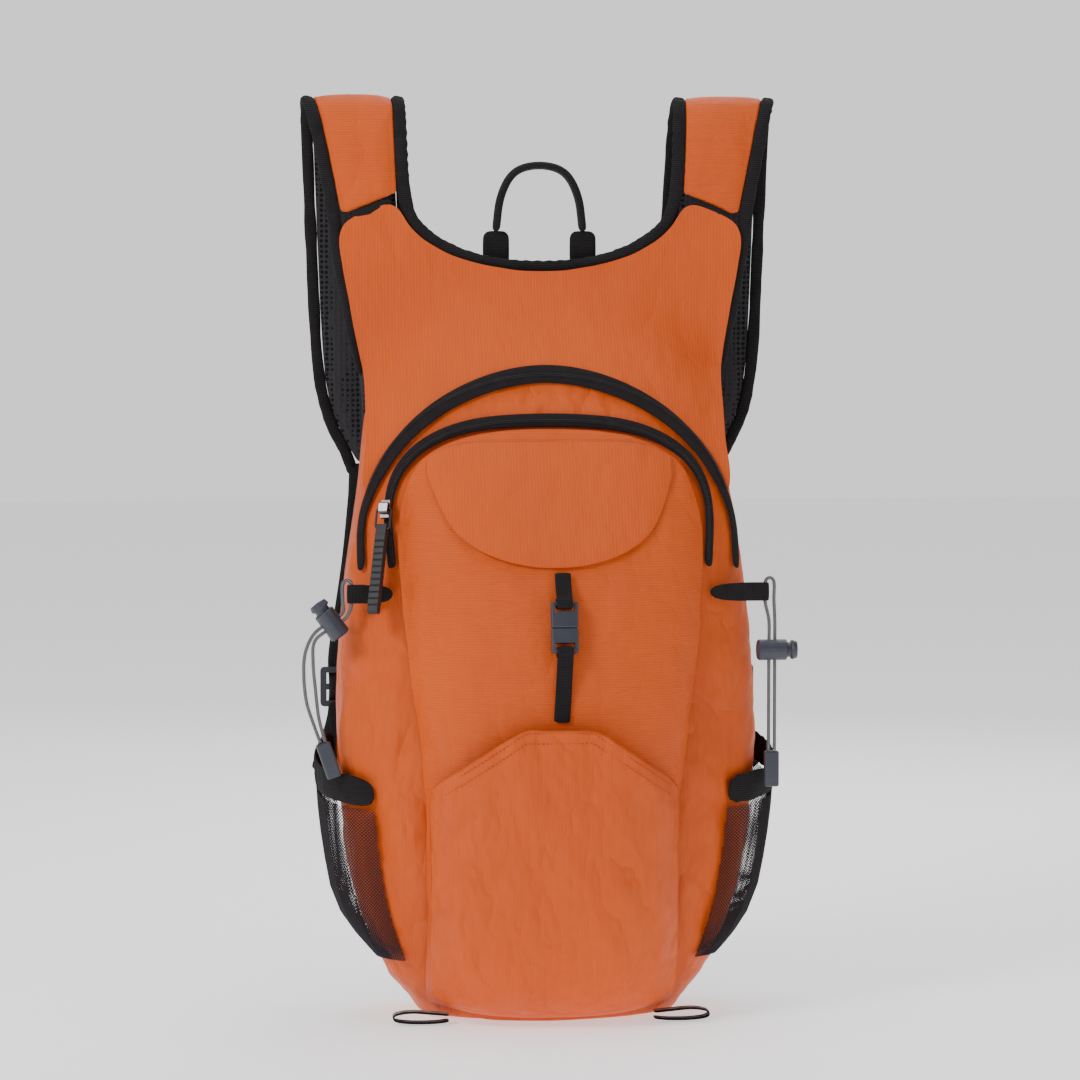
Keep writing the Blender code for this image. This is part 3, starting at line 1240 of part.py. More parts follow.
build_body()
build_front_pocket()
build_zips()
build_badge()
build_stash()
for sign, label in ((-1.0, "left"), (1.0, "right")):
    build_net(sign, label)
build_back()
build_yoke()
build_harness()
build_handle()
build_buckle()
for sign, label in ((-1.0, "left"), (1.0, "right")):
    build_side_cord(sign, label)
    build_lash(sign, label)
SLIDER_Z = POCKET_SHOULDER_Z + 10 * MM
build_pull("front_zip", tape_frame(-(pocket_half(SLIDER_Z) + FRONT_TAPE_LEG / 2 + GAP), SLIDER_Z, 0.10), PULL_LENGTH)
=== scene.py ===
"""Dresses the daypack: ripstop cloth, grosgrain edges, knitted net, zips, webbing, cords and moulded hardware."""

import logging
import math
from collections.abc import Callable, Iterable, Sequence
from dataclasses import dataclass, field
from enum import Enum

import bmesh
import bpy
import numpy as np
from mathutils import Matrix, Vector, noise
from mathutils.bvhtree import BVHTree


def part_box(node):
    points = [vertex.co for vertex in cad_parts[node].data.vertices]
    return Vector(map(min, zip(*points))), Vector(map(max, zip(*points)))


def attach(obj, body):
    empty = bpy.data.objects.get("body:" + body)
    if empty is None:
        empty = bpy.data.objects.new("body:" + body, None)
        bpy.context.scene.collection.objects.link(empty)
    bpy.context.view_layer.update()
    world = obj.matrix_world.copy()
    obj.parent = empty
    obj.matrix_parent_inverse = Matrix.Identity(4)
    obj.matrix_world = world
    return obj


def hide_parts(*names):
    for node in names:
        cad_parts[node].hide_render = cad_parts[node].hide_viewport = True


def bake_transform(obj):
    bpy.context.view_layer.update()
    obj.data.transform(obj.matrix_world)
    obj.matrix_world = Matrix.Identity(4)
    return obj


logging.basicConfig(level=logging.INFO, format="%(message)s")
LOG = logging.getLogger("daypack")

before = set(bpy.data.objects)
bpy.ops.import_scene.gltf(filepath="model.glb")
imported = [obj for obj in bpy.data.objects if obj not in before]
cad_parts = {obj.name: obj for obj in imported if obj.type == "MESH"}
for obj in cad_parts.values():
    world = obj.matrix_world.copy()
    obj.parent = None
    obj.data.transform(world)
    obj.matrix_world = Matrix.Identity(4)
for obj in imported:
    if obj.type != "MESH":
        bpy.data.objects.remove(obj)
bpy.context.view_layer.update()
MM = 0.001
SIDES = ((-1.0, "left"), (1.0, "right"))
BACK_SEAM_Y = 42.0 * MM
DRAPE_STEP = 2.5 * MM
DRAPE_COLUMNS = 105
DRAPE_ROWS = 84
DRAPE_LOW_Z = 0.300
DRAPE_SEED_Z = 0.425
DRAPE_SHOULDERS = 0.100
DRAPE_LIFT = 0.5 * MM
LASH_MIDDLE_Y = -33.5 * MM
STRIPE_HALF = 2.4 * MM
Colour = tuple[float, float, float, float]
Point = Vector | tuple[float, float, float]


class Weave(Enum):
    """Which way the reinforcing lines of a cloth run."""

    UPRIGHT = "upright"
    LEVEL = "level"
    FINE = "fine"


class Graph:
    """A material's node tree with short calls for the nodes used here."""

    def __init__(self, name: str) -> None:
        """Starts a material.

        Args:
            name: The material's name.
        """
        self.material = bpy.data.materials.new(name)
        self.material.use_nodes = True
        self.tree = self.material.node_tree
        self.shader = self.tree.nodes["Principled BSDF"]
        self.coords = self.tree.nodes.new("ShaderNodeTexCoord")
        self.split = self.tree.nodes.new("ShaderNodeSeparateXYZ")
        self.tree.links.new(self.coords.outputs["Object"], self.split.inputs[0])

    def link(self, out: bpy.types.NodeSocket, into: bpy.types.NodeSocket) -> None:
        """Joins two sockets."""
        self.tree.links.new(out, into)

    def math(self, kind: str, a: object, b: object = 0.0) -> bpy.types.NodeSocket:
        """One Math node.

        Args:
            kind: Its operation.
            a: A socket or a number.
            b: A socket or a number.

        Returns:
            The value socket.
        """
        node = self.tree.nodes.new("ShaderNodeMath")
        node.operation = kind
        for slot, value in zip(node.inputs, (a, b)):
            if isinstance(value, bpy.types.NodeSocket):
                self.link(value, slot)
            else:
                slot.default_value = value
        return node.outputs[0]

    def noise(self, scale: float, detail: float = 3.0, stretch: Sequence[float] = (1, 1, 1)) -> bpy.types.NodeSocket:
        """Noise over the object.

        Args:
            scale: Its scale per metre.
            detail: Its detail.
            stretch: Scale along each axis.

        Returns:
            The factor socket.
        """
        place = self.tree.nodes.new("ShaderNodeMapping")
        place.inputs["Scale"].default_value = tuple(stretch)
        self.link(self.coords.outputs["Object"], place.inputs["Vector"])
        node = self.tree.nodes.new("ShaderNodeTexNoise")
        node.inputs["Scale"].default_value = scale
        node.inputs["Detail"].default_value = detail
        self.link(place.outputs[0], node.inputs["Vector"])
        return node.outputs[0]

    def ridges(self, axis: str, pitch: float) -> bpy.types.NodeSocket:
        """Even ridges from -1 to 1 across an axis.

        Args:
            axis: X, Y or Z.
            pitch: Distance between ridges in metres.

        Returns:
            The height socket.
        """
        turns = self.math("MULTIPLY", self.split.outputs[axis], 2 * math.pi / pitch)
        return self.math("SINE", turns)

    def bump(self, heights: Iterable[tuple[object, float]], distance: float) -> None:
        """Feeds a sum of heights to the shader's normal.

        Args:
            heights: Sockets with their weights.
            distance: The bump's depth in metres for a height of one.
        """
        total: object = 0.0
        for socket, weight in heights:
            total = self.math("ADD", self.math("MULTIPLY", socket, weight), total)
        node = self.tree.nodes.new("ShaderNodeBump")
        node.inputs["Distance"].default_value = distance
        node.inputs["Strength"].default_value = 1.0
        self.link(total, node.inputs["Height"])
        self.link(node.outputs[0], self.shader.inputs["Normal"])

    def tint(self, low: Colour, high: Colour, factor: bpy.types.NodeSocket) -> None:
        """Blends the base colour between two colours."""
        mix = self.tree.nodes.new("ShaderNodeMix")
        mix.data_type = "RGBA"
        mix.inputs["A"].default_value = low
        mix.inputs["B"].default_value = high
        self.link(factor, mix.inputs["Factor"])
        self.link(mix.outputs["Result"], self.shader.inputs["Base Color"])

    def set(self, **values: float) -> None:
        """Sets shader inputs, a name's underscores standing for spaces."""
        for name, value in values.items():
            self.shader.inputs[name.replace("_", " ")].default_value = value


@dataclass(frozen=True)
class ClothFinish:
    """Coated ripstop cloth with a satin face."""

    name: str
    colour: Colour
    deep: Colour
    weave: Weave
    pitch: float = 2.0 * MM
    roughness: float = 0.46

    def make(self) -> bpy.types.Material:
        """Builds the material."""
        g = Graph(self.name)
        axis = "Z" if self.weave is Weave.LEVEL else "X"
        ridge = g.ridges(axis, self.pitch)
        line = g.math("POWER", g.math("MAXIMUM", ridge, 0.0), 6.0)
        fine = g.math("MULTIPLY", g.ridges("X", 0.45 * MM), g.ridges("Z", 0.45 * MM))
        cloud = g.noise(9.0, 4.0)
        slub = g.noise(60.0, 2.0, (1.0, 1.0, 14.0) if axis == "Z" else (14.0, 1.0, 1.0))
        weight = 0.34 if self.weave is not Weave.FINE else 0.12
        shade = g.math("ADD", g.math("MULTIPLY", cloud, 0.55), g.math("MULTIPLY", line, weight))
        g.tint(self.deep, self.colour, g.math("ADD", shade, g.math("MULTIPLY", slub, 0.25)))
        g.link(g.math("ADD", g.math("MULTIPLY", cloud, 0.18), self.roughness - 0.09), g.shader.inputs["Roughness"])
        g.set(Sheen_Weight=0.0, Coat_Weight=0.04, Coat_Roughness=0.4, Specular_IOR_Level=0.3)
        crumple = g.math("ABSOLUTE", g.math("SUBTRACT", g.noise(26.0, 3.0, (1.0, 1.0, 0.6)), 0.5))
        depth = 75.0 if self.weave is Weave.FINE else 30.0
        g.bump(((line, 0.5 * weight / 0.34), (fine, 0.22), (g.noise(260.0, 3.0), 0.25), (slub, 0.35),
                (crumple, depth)), 0.22 * MM)
        return g.material


@dataclass(frozen=True)
class WebFinish:
    """Ribbed woven webbing or grosgrain binding."""

    name: str
    colour: Colour = (0.006, 0.005, 0.006, 1.0)
    # Colour of the rib crests; the grooves between the ribs keep the darker colour as painted shade.
    pale_crest: Colour = (0.018, 0.016, 0.018, 1.0)
    rib: float = 0.9 * MM
    axis: str = "Z"

    def make(self) -> bpy.types.Material:
        """Builds the material."""
        g = Graph(self.name)
        ribs = g.ridges(self.axis, self.rib)
        other = g.ridges("X" if self.axis == "Z" else "Z", self.rib * 0.6)
        fuzz = g.noise(900.0, 2.0)
        # Paler on the rib crests, darker in the grooves: painted shade between the ribs, in patches from noise.
        g.tint(self.colour, self.pale_crest, g.math("MULTIPLY", g.noise(120.0, 4.0), g.math("ADD", ribs, 1.0)))
        g.set(Roughness=0.85, Sheen_Weight=0.02, Specular_IOR_Level=0.2)
        g.bump(((ribs, 0.5), (other, 0.18), (fuzz, 0.3)), 0.16 * MM)
        return g.material


@dataclass(frozen=True)
class MouldedFinish:
    """Moulded plastic, rubber or plated metal."""

    name: str
    colour: Colour
    roughness: float = 0.42
    metallic: float = 0.0
    grain: float = 0.05 * MM

    def make(self) -> bpy.types.Material:
        """Builds the material."""
        g = Graph(self.name)
        grain = g.noise(1400.0, 2.0)
        wear = g.noise(70.0, 5.0)
        bright = tuple(min(c * 1.7 + 0.012, 1.0) for c in self.colour[:3]) + (1.0,)
        g.tint(self.colour, bright, g.math("POWER", wear, 3.0))
        g.link(g.math("ADD", g.math("MULTIPLY", wear, 0.2), self.roughness - 0.1), g.shader.inputs["Roughness"])
        g.set(Metallic=self.metallic)
        g.bump(((grain, 1.0), (wear, 0.4)), self.grain)
        return g.material


@dataclass(frozen=True)
class CordFinish:
    """Braided cord with light flecks wound round it."""

    name: str
    pitch: float = 1.5 * MM

    def make(self) -> bpy.types.Material:
        """Builds the material."""
        g = Graph(self.name)
        turn = g.math("ADD", g.split.outputs["Z"], g.math("MULTIPLY", g.split.outputs["X"], 0.9))
        wave = g.math("SINE", g.math("MULTIPLY", turn, 2 * math.pi / self.pitch))
        other = g.math("SINE", g.math("MULTIPLY", g.split.outputs["Y"], 2 * math.pi / (self.pitch * 1.3)))
        fleck = g.math("GREATER_THAN", g.math("ADD", wave, g.math("MULTIPLY", other, 0.5)), 0.45)
        g.tint((0.012, 0.011, 0.013, 1.0), (0.55, 0.56, 0.6, 1.0), g.math("MULTIPLY", fleck, 0.85))
        g.set(Roughness=0.75, Sheen_Weight=0.2)
        g.bump(((wave, 0.6), (g.noise(1500.0), 0.3)), 0.12 * MM)
        return g.material


@dataclass(frozen=True)
class NetFinish:
    """Yarn of the knitted nets and of the spacer mesh, with painted shade in the spacer mesh's holes."""

    name: str
    colour: Colour = (0.012, 0.010, 0.013, 1.0)
    cell: float = 0.0

    def make(self) -> bpy.types.Material:
        """Builds the material."""
        g = Graph(self.name)
        g.set(Roughness=0.85, Sheen_Weight=0.02, Specular_IOR_Level=0.2)
        fuzz = g.noise(1600.0, 2.0)
        if self.cell <= 0:
            g.tint(self.colour, (0.04, 0.036, 0.042, 1.0), fuzz)
            g.bump(((fuzz, 1.0),), 0.06 * MM)
            return g.material
        holes = g.tree.nodes.new("ShaderNodeTexVoronoi")
        holes.inputs["Scale"].default_value = 1 / self.cell
        holes.inputs["Randomness"].default_value = 0.15
        g.link(g.coords.outputs["Object"], holes.inputs["Vector"])
        # The spacer mesh's holes are painted near black: painted shade down inside them.
        hole_shade = g.math("LESS_THAN", holes.outputs["Distance"], 0.36)
        g.tint((0.03, 0.028, 0.032, 1.0), (0.003, 0.003, 0.003, 1.0), hole_shade)
        g.bump(((holes.outputs["Distance"], 1.0), (fuzz, 0.1)), 0.8 * MM)
        return g.material


@dataclass
class Palette:
    """Every finish, made once."""

    made: dict[str, bpy.types.Material] = field(default_factory=dict)

    def __post_init__(self) -> None:
        """Makes the finishes."""
        orange: Colour = (0.86, 0.128, 0.0015, 1.0)
        deep: Colour = (0.55, 0.060, 0.001, 1.0)
        finishes = (
            ClothFinish("cloth_upright", orange, deep, Weave.UPRIGHT),
            ClothFinish("cloth_level", orange, deep, Weave.LEVEL, 1.6 * MM),
            ClothFinish("cloth_fine", orange, deep, Weave.FINE),
            WebFinish("webbing"),
            WebFinish("webbing_across", axis="X"),
            WebFinish("binding", rib=1.3 * MM),
            WebFinish("zip_tape", (0.008, 0.006, 0.007, 1.0), (0.022, 0.016, 0.018, 1.0), 0.7 * MM),
            WebFinish("stripe", (0.25, 0.25, 0.26, 1.0), (0.4, 0.4, 0.42, 1.0)),
            MouldedFinish("slate_plastic", (0.03, 0.033, 0.048, 1.0)),
            MouldedFinish("plated", (0.12, 0.12, 0.13, 1.0), 0.3, 1.0, 0.02 * MM),
            MouldedFinish("pull_rubber", (0.012, 0.011, 0.013, 1.0), 0.6),
            CordFinish("flecked_cord"),
            NetFinish("net_yarn"),
            NetFinish("spacer_mesh", cell=3.2 * MM),
            WebFinish("thread", (0.3, 0.03, 0.006, 1.0), (0.62, 0.09, 0.02, 1.0), 0.6 * MM),
            WebFinish("dark_thread", (0.03, 0.027, 0.03, 1.0), (0.07, 0.065, 0.07, 1.0), 0.6 * MM),
        )
        for finish in finishes:
            self.made[finish.name] = finish.make()

    def __getitem__(self, name: str) -> bpy.types.Material:
        """The finish of that name."""
        return self.made[name]


def smoothstep(low: float, high: float, value: float) -> float:
    """A smooth step from 0 to 1 between low and high."""
    t = max(0.0, min(1.0, (value - low) / (high - low)))
    return t * t * (3 - 2 * t)


def link_piece(obj: bpy.types.Object, material: bpy.types.Material, body: str) -> bpy.types.Object:
    """Puts a new piece in the scene on its body.

    Args:
        obj: The piece.
        material: Its finish.
        body: The CAD body it rides on, or nothing for a piece left on no body.

    Returns:
        The piece.
    """
    bpy.context.scene.collection.objects.link(obj)
    obj.data.materials.clear()
    obj.data.materials.append(material)
    if body:
        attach(obj, body)
    LOG.info("%s on %s", obj.name, body)
    return obj


def mesh_piece(
    name: str,
    points: Sequence[Point],
    faces: Sequence[Sequence[int]],
    material: bpy.types.Material,
    body: str = "pack",
) -> bpy.types.Object:
    """A smooth mesh piece from points and faces."""
    mesh = bpy.data.meshes.new(name)
    mesh.from_pydata([tuple(p) for p in points], [], faces)
    mesh.validate()
    mesh.polygons.foreach_set("use_smooth", [True] * len(mesh.polygons))
    return link_piece(bpy.data.objects.new(name, mesh), material, body)


class SoftCopy:
    """A sewn version of a CAD node: rounded, subdivided and creased, standing for the node."""

    def __init__(self, node: str, material: bpy.types.Material, body: str, levels: int = 2, slot: str = "") -> None:
        """Copies the node's mesh.

        Args:
            node: The CAD node.
            material: The cloth's finish.
            body: The body it rides on.
            levels: Subdivision levels.
            slot: Not used.
        """
        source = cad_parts[node]
        mesh = source.data.copy()
        bm = bmesh.new()
        bm.from_mesh(mesh)
        bmesh.ops.remove_doubles(bm, verts=bm.verts, dist=1e-5)
        bmesh.ops.join_triangles(bm, faces=bm.faces, angle_face_threshold=0.6, angle_shape_threshold=1.2)
        bm.to_mesh(mesh)
        bm.free()
        self.obj = bpy.data.objects.new(node + "_sewn", mesh)
        link_piece(self.obj, material, body)
        step = self.obj.modifiers.new("round", "SUBSURF")
        step.levels = step.render_levels = levels
        graph = bpy.context.evaluated_depsgraph_get()
        dense = bpy.data.meshes.new_from_object(self.obj.evaluated_get(graph))
        self.obj.modifiers.clear()
        self.obj.data = dense
        dense.polygons.foreach_set("use_smooth", [True] * len(dense.polygons))
        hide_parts(node)

    def crease(self, shift: Callable[[Vector, Vector], float]) -> "SoftCopy":
        """Moves each point along its normal by shift(point, normal).

        Returns:
            The same copy.
        """
        mesh = self.obj.data
        normals = [v.normal.copy() for v in mesh.vertices]
        for vert, normal in zip(mesh.vertices, normals):
            vert.co = vert.co + normal * shift(vert.co, normal)
        mesh.update()
        return self


def fold(p: Vector, scale: float, stretch: Sequence[float], seed: float) -> float:
    """Ridged folds: sharp valleys between soft crests, from -1 to 0."""
    q = Vector((p.x * stretch[0] + seed, p.y * stretch[1], p.z * stretch[2])) * scale
    return -abs(noise.noise(q)) ** 0.8


def soften_rim(mesh: bpy.types.Mesh, rounds: int) -> None:
    """Evens out a sheet's rim, so that it runs in smooth lines.

    Args:
        mesh: The sheet.
        rounds: How many times each rim point moves between its neighbours.
    """
    bm = bmesh.new()
    bm.from_mesh(mesh)
    loose = [v for v in bm.verts if not v.link_faces]
    bmesh.ops.delete(bm, geom=loose, context="VERTS")
    rim = {v: [e.other_vert(v) for e in v.link_edges if e.is_boundary] for v in bm.verts if v.is_boundary}
    for _ in range(rounds):
        moved = {v: (ring[0].co + ring[1].co) / 2 for v, ring in rim.items() if len(ring) == 2}
        for vert, place in moved.items():
            vert.co = vert.co.lerp(place, 0.6)
    bm.to_mesh(mesh)
    bm.free()
    mesh.update()


class Caster:
    """Finds points on the outside of CAD nodes."""

    def __init__(self, *nodes: str) -> None:
        """Collects the nodes' faces."""
        points: list[Vector] = []
        faces: list[list[int]] = []
        for node in nodes:
            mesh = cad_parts[node].data
            base = len(points)
            points += [v.co.copy() for v in mesh.vertices]
            faces += [[base + i for i in poly.vertices] for poly in mesh.polygons]
        self.tree = BVHTree.FromPolygons(points, faces)

    def hit(self, start: Point, towards: Point) -> tuple[Vector, Vector] | None:
        """The first point met from start along a direction, with its normal."""
        found = self.tree.ray_cast(Vector(start), Vector(towards).normalized())
        if found[0] is None:
            return None
        normal = found[1]
        if normal.dot(Vector(towards)) > 0:
            normal = -normal
        return found[0], normal

    def front(self, x: float, z: float) -> tuple[Vector, Vector] | None:
        """The point met from the front at an x and height."""
        return self.hit((x, -0.5, z), (0, 1, 0))


@dataclass(frozen=True)
class Studio:
    """Pale floor, soft lights and the camera."""

    distance: float = 2.4
    azimuth: float = -5.0
    elevation: float = 3.6
    lens: float = 131.0
    aim: Point = (-0.004, 0.0, 0.291)

    def shoot_from(self) -> None:
        """Makes the camera."""
        data = bpy.data.cameras.new("camera")
        data.lens = self.lens
        data.sensor_width = 36.0
        camera = bpy.data.objects.new("camera", data)
        a, e = math.radians(self.azimuth), math.radians(self.elevation)
        back = Vector((math.sin(a) * math.cos(e), -math.cos(a) * math.cos(e), math.sin(e)))
        camera.location = Vector(self.aim) + back * self.distance
        camera.rotation_euler = (-back).to_track_quat("-Z", "Y").to_euler()
        bpy.context.scene.collection.objects.link(camera)
        bpy.context.scene.camera = camera

    def light(self) -> None:
        """Makes the floor and the lights."""
        points = [(-6.0, -6.0, -0.0003), (6.0, -6.0, -0.0003), (6.0, 6.0, -0.0003), (-6.0, 6.0, -0.0003)]
        mesh = bpy.data.meshes.new("floor")
        mesh.from_pydata(points, [], [(0, 1, 2, 3)])
        mesh.polygons.foreach_set("use_smooth", [True] * len(mesh.polygons))
        floor = bpy.data.objects.new("floor", mesh)
        bpy.context.scene.collection.objects.link(floor)
        paint = bpy.data.materials.new("floor")
        paint.use_nodes = True
        shader = paint.node_tree.nodes["Principled BSDF"]
        shader.inputs["Base Color"].default_value = (0.93, 0.93, 0.93, 1.0)
        shader.inputs["Roughness"].default_value = 0.9
        shader.inputs["Emission Color"].default_value = (1.0, 1.0, 1.0, 1.0)
        shader.inputs["Emission Strength"].default_value = 0.7
        mesh.materials.append(paint)
        world = bpy.data.worlds.new("world")
        world.use_nodes = True
        sky = world.node_tree.nodes["Background"]
        sky.inputs["Color"].default_value = (1.0, 1.0, 1.0, 1.0)
        paths = world.node_tree.nodes.new("ShaderNodeLightPath")
        seen = world.node_tree.nodes.new("ShaderNodeMath")
        seen.operation = "MULTIPLY_ADD"
        seen.inputs[1].default_value = 0.75
        seen.inputs[2].default_value = 0.36
        world.node_tree.links.new(paths.outputs["Is Camera Ray"], seen.inputs[0])
        world.node_tree.links.new(seen.outputs[0], sky.inputs["Strength"])
        bpy.context.scene.world = world
        for name, place, size, power in (
            ("key", (-1.5, -1.2, 1.5), 0.6, 27.0),
            ("fill", (1.6, -1.3, 0.8), 1.2, 3.5),
            ("top", (0.1, 0.1, 1.9), 1.0, 13.0),
            ("back", (0.4, 1.1, 1.0), 1.0, 7.0),
        ):
            data = bpy.data.lights.new(name, "AREA")
            data.size = size
            data.energy = power
            lamp = bpy.data.objects.new(name, data)
            lamp.location = place
            lamp.rotation_euler = (Vector((0, 0, 0.28)) - Vector(place)).to_track_quat("-Z", "Y").to_euler()
            bpy.context.scene.collection.objects.link(lamp)


def spline_points(route: Sequence[Point], count: int) -> list[Vector]:
    """Evenly spaced points along a smooth curve through a route."""
    pts = [np.array(tuple(p), dtype=float) for p in route]
    dense = []
    for k in range(len(pts) - 1):
        p1, p2 = pts[k], pts[k + 1]
        p0 = pts[k - 1] if k > 0 else 2 * p1 - p2
        p3 = pts[k + 2] if k + 2 < len(pts) else 2 * p2 - p1
        for t in np.linspace(0, 1, 16, endpoint=False):
            a = -0.5 * t**3 + t**2 - 0.5 * t
            b = 1.5 * t**3 - 2.5 * t**2 + 1
            c = -1.5 * t**3 + 2 * t**2 + 0.5 * t
            d = 0.5 * t**3 - 0.5 * t**2
            dense.append(a * p0 + b * p1 + c * p2 + d * p3)
    dense.append(pts[-1])
    line = np.array(dense)
    along = np.concatenate([[0.0], np.cumsum(np.linalg.norm(np.diff(line, axis=0), axis=1))])
    wanted = np.linspace(0, along[-1], count)
    return [Vector([float(np.interp(w, along, line[:, k])) for k in range(3)]) for w in wanted]


@dataclass(frozen=True)
class SideCord:
    """The doubled, flecked cord on one side, from its end clip round the tab and back."""

    side: float
    word: str
    radius: float = 1.1 * MM
    level: float = -31.0 * MM
    tab_z: float = 261.0 * MM

    def route(self) -> list[Vector]:
        """Places the cord passes through, from one tail to the other."""
        t = self.tab_z / MM
        if self.side > 0:
            turn = 131.0
            inner = [(132.7, 164.4), (132.7, 190), (132.7, 225), (132.7, 243)]
            outer = [(136.3, 243), (136.3, 225), (136.3, 190), (136.3, 164.4)]
        else:
            turn = 121.0
            inner = [(136.5, 172.0), (140.2, 186), (142.2, 203), (143.6, 220)]
            out = Vector((-0.59, 0, 0.807)).normalized()
            down = Vector((-out.z, 0, out.x)).normalized()
            centre = Vector((-132, 0, 243))
            near, far = centre - out * 1.8, centre + out * 1.8
            inner += [(-p.x, p.z) for p in (near + down * 14, near, near - down * 9)]
            outer = [(-p.x, p.z) for p in (far - down * 9, far, far + down * 12)]
            outer += [(148.2, 226), (149.2, 212), (147.6, 196), (143.2, 182), (139.4, 171.4)]
        wrap = [(turn - 0.7, t - 6), (turn - 0.7, t + 5.6), (turn + 2.1, t + 8.4), (turn + 4.7, t + 5.6),
                (turn + 4.7, t - 5)]
        return [Vector((self.side * x * MM, self.level, z * MM)) for x, z in inner + wrap + outer]

    def build(self, finish: bpy.types.Material) -> bpy.types.Object:
        """Args:
            finish: The braid's material.

        Returns:
            The cord.
        """
        points = spline_points(self.route(), 150)
        data = bpy.data.curves.new("side_cord_" + self.word + "_braid", "CURVE")
        data.dimensions = "3D"
        data.bevel_depth = self.radius
        data.bevel_resolution = 4
        data.use_fill_caps = True
        spline = data.splines.new("POLY")
        spline.points.add(len(points) - 1)
        for place, p in zip(spline.points, points):
            place.co = (*p, 1.0)
        cord = link_piece(bpy.data.objects.new(data.name, data), finish, "pack")
        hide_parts("side_cord_" + self.word)
        return cord


class Stitches:
    """Rows of raised thread dashes gathered into one piece per body and colour."""

    def __init__(self, name: str, body: str = "pack") -> None:
        """Starts an empty set.

        Args:
            name: The piece's name.
            body: The body it rides on.
        """
        self.name = name
        self.body = body
        self.points: list[Vector] = []
        self.faces: list[tuple[int, ...]] = []

    def row(self, line: Sequence[tuple[Vector, Vector]], pitch: float = 2.6 * MM, size: float = 0.32 * MM) -> None:
        """Adds dashes along a line of (point, normal)."""
        spots = [p for p, _ in line]
        if len(spots) < 2:
            return
        along = np.concatenate([[0.0], np.cumsum([(b - a).length for a, b in zip(spots, spots[1:])])])
        where = pitch / 2
        while where < along[-1] - pitch / 2:
            ends = []
            for w in (where - pitch * 0.33, where + pitch * 0.33):
                k = min(max(int(np.searchsorted(along, w)) - 1, 0), len(spots) - 2)
                t = (w - along[k]) / max(along[k + 1] - along[k], 1e-9)
                ends.append((spots[k].lerp(spots[k + 1], t), line[k][1]))
            self.dash(ends[0][0], ends[1][0], ends[0][1], size)
            where += pitch

    def dash(self, a: Vector, b: Vector, normal: Vector, size: float) -> None:
        """Adds one dash."""
        run = b - a
        if run.length < 1e-6:
            return
        side = run.cross(normal).normalized() * size
        up = normal.normalized() * size
        base = len(self.points)
        for t, s in ((0.0, 0.35), (0.2, 1.0), (0.8, 1.0), (1.0, 0.35)):
            c = a + run * t + up * (0.35 if 0 < t < 1 else -0.1)
            for k in range(6):
                angle = k * math.pi / 3
                self.points.append(c + (side * math.cos(angle) + up * math.sin(angle)) * s)
        for r in range(3):
            for k in range(6):
                n = (k + 1) % 6
                self.faces.append((base + r * 6 + k, base + r * 6 + n, base + r * 6 + 6 + n, base + r * 6 + 6 + k))
        self.faces.append(tuple(base + k for k in reversed(range(6))))
        self.faces.append(tuple(base + 18 + k for k in range(6)))

    def finish(self, material: bpy.types.Material) -> None:
        """Makes the piece."""
        if self.points:
            mesh_piece(self.name, self.points, self.faces, material, self.body)


def wrinkle_side(p: Vector) -> float:
    """Folds of the cloth on the body's sides, strongest low down."""
    low = smoothstep(0.33, 0.12, p.z)
    edge = smoothstep(0.045, 0.10, abs(p.x))
    long_folds = fold(p, 20.0, (1.6, 1.2, 0.6), 3.1) * 5.0 * MM
    cross = fold(Vector((p.x, p.y, p.z + 0.45 * abs(p.x))), 34.0, (0.6, 0.8, 1.5), 8.7) * 3.6 * MM
    fine = fold(Vector((p.x, p.y, p.z - 0.3 * abs(p.x))), 75.0, (0.8, 0.8, 1.3), 4.4) * 1.2 * MM
    return (long_folds * (0.45 + low) + (cross + fine) * (0.35 + 0.65 * low)) * (0.3 + 0.7 * edge)


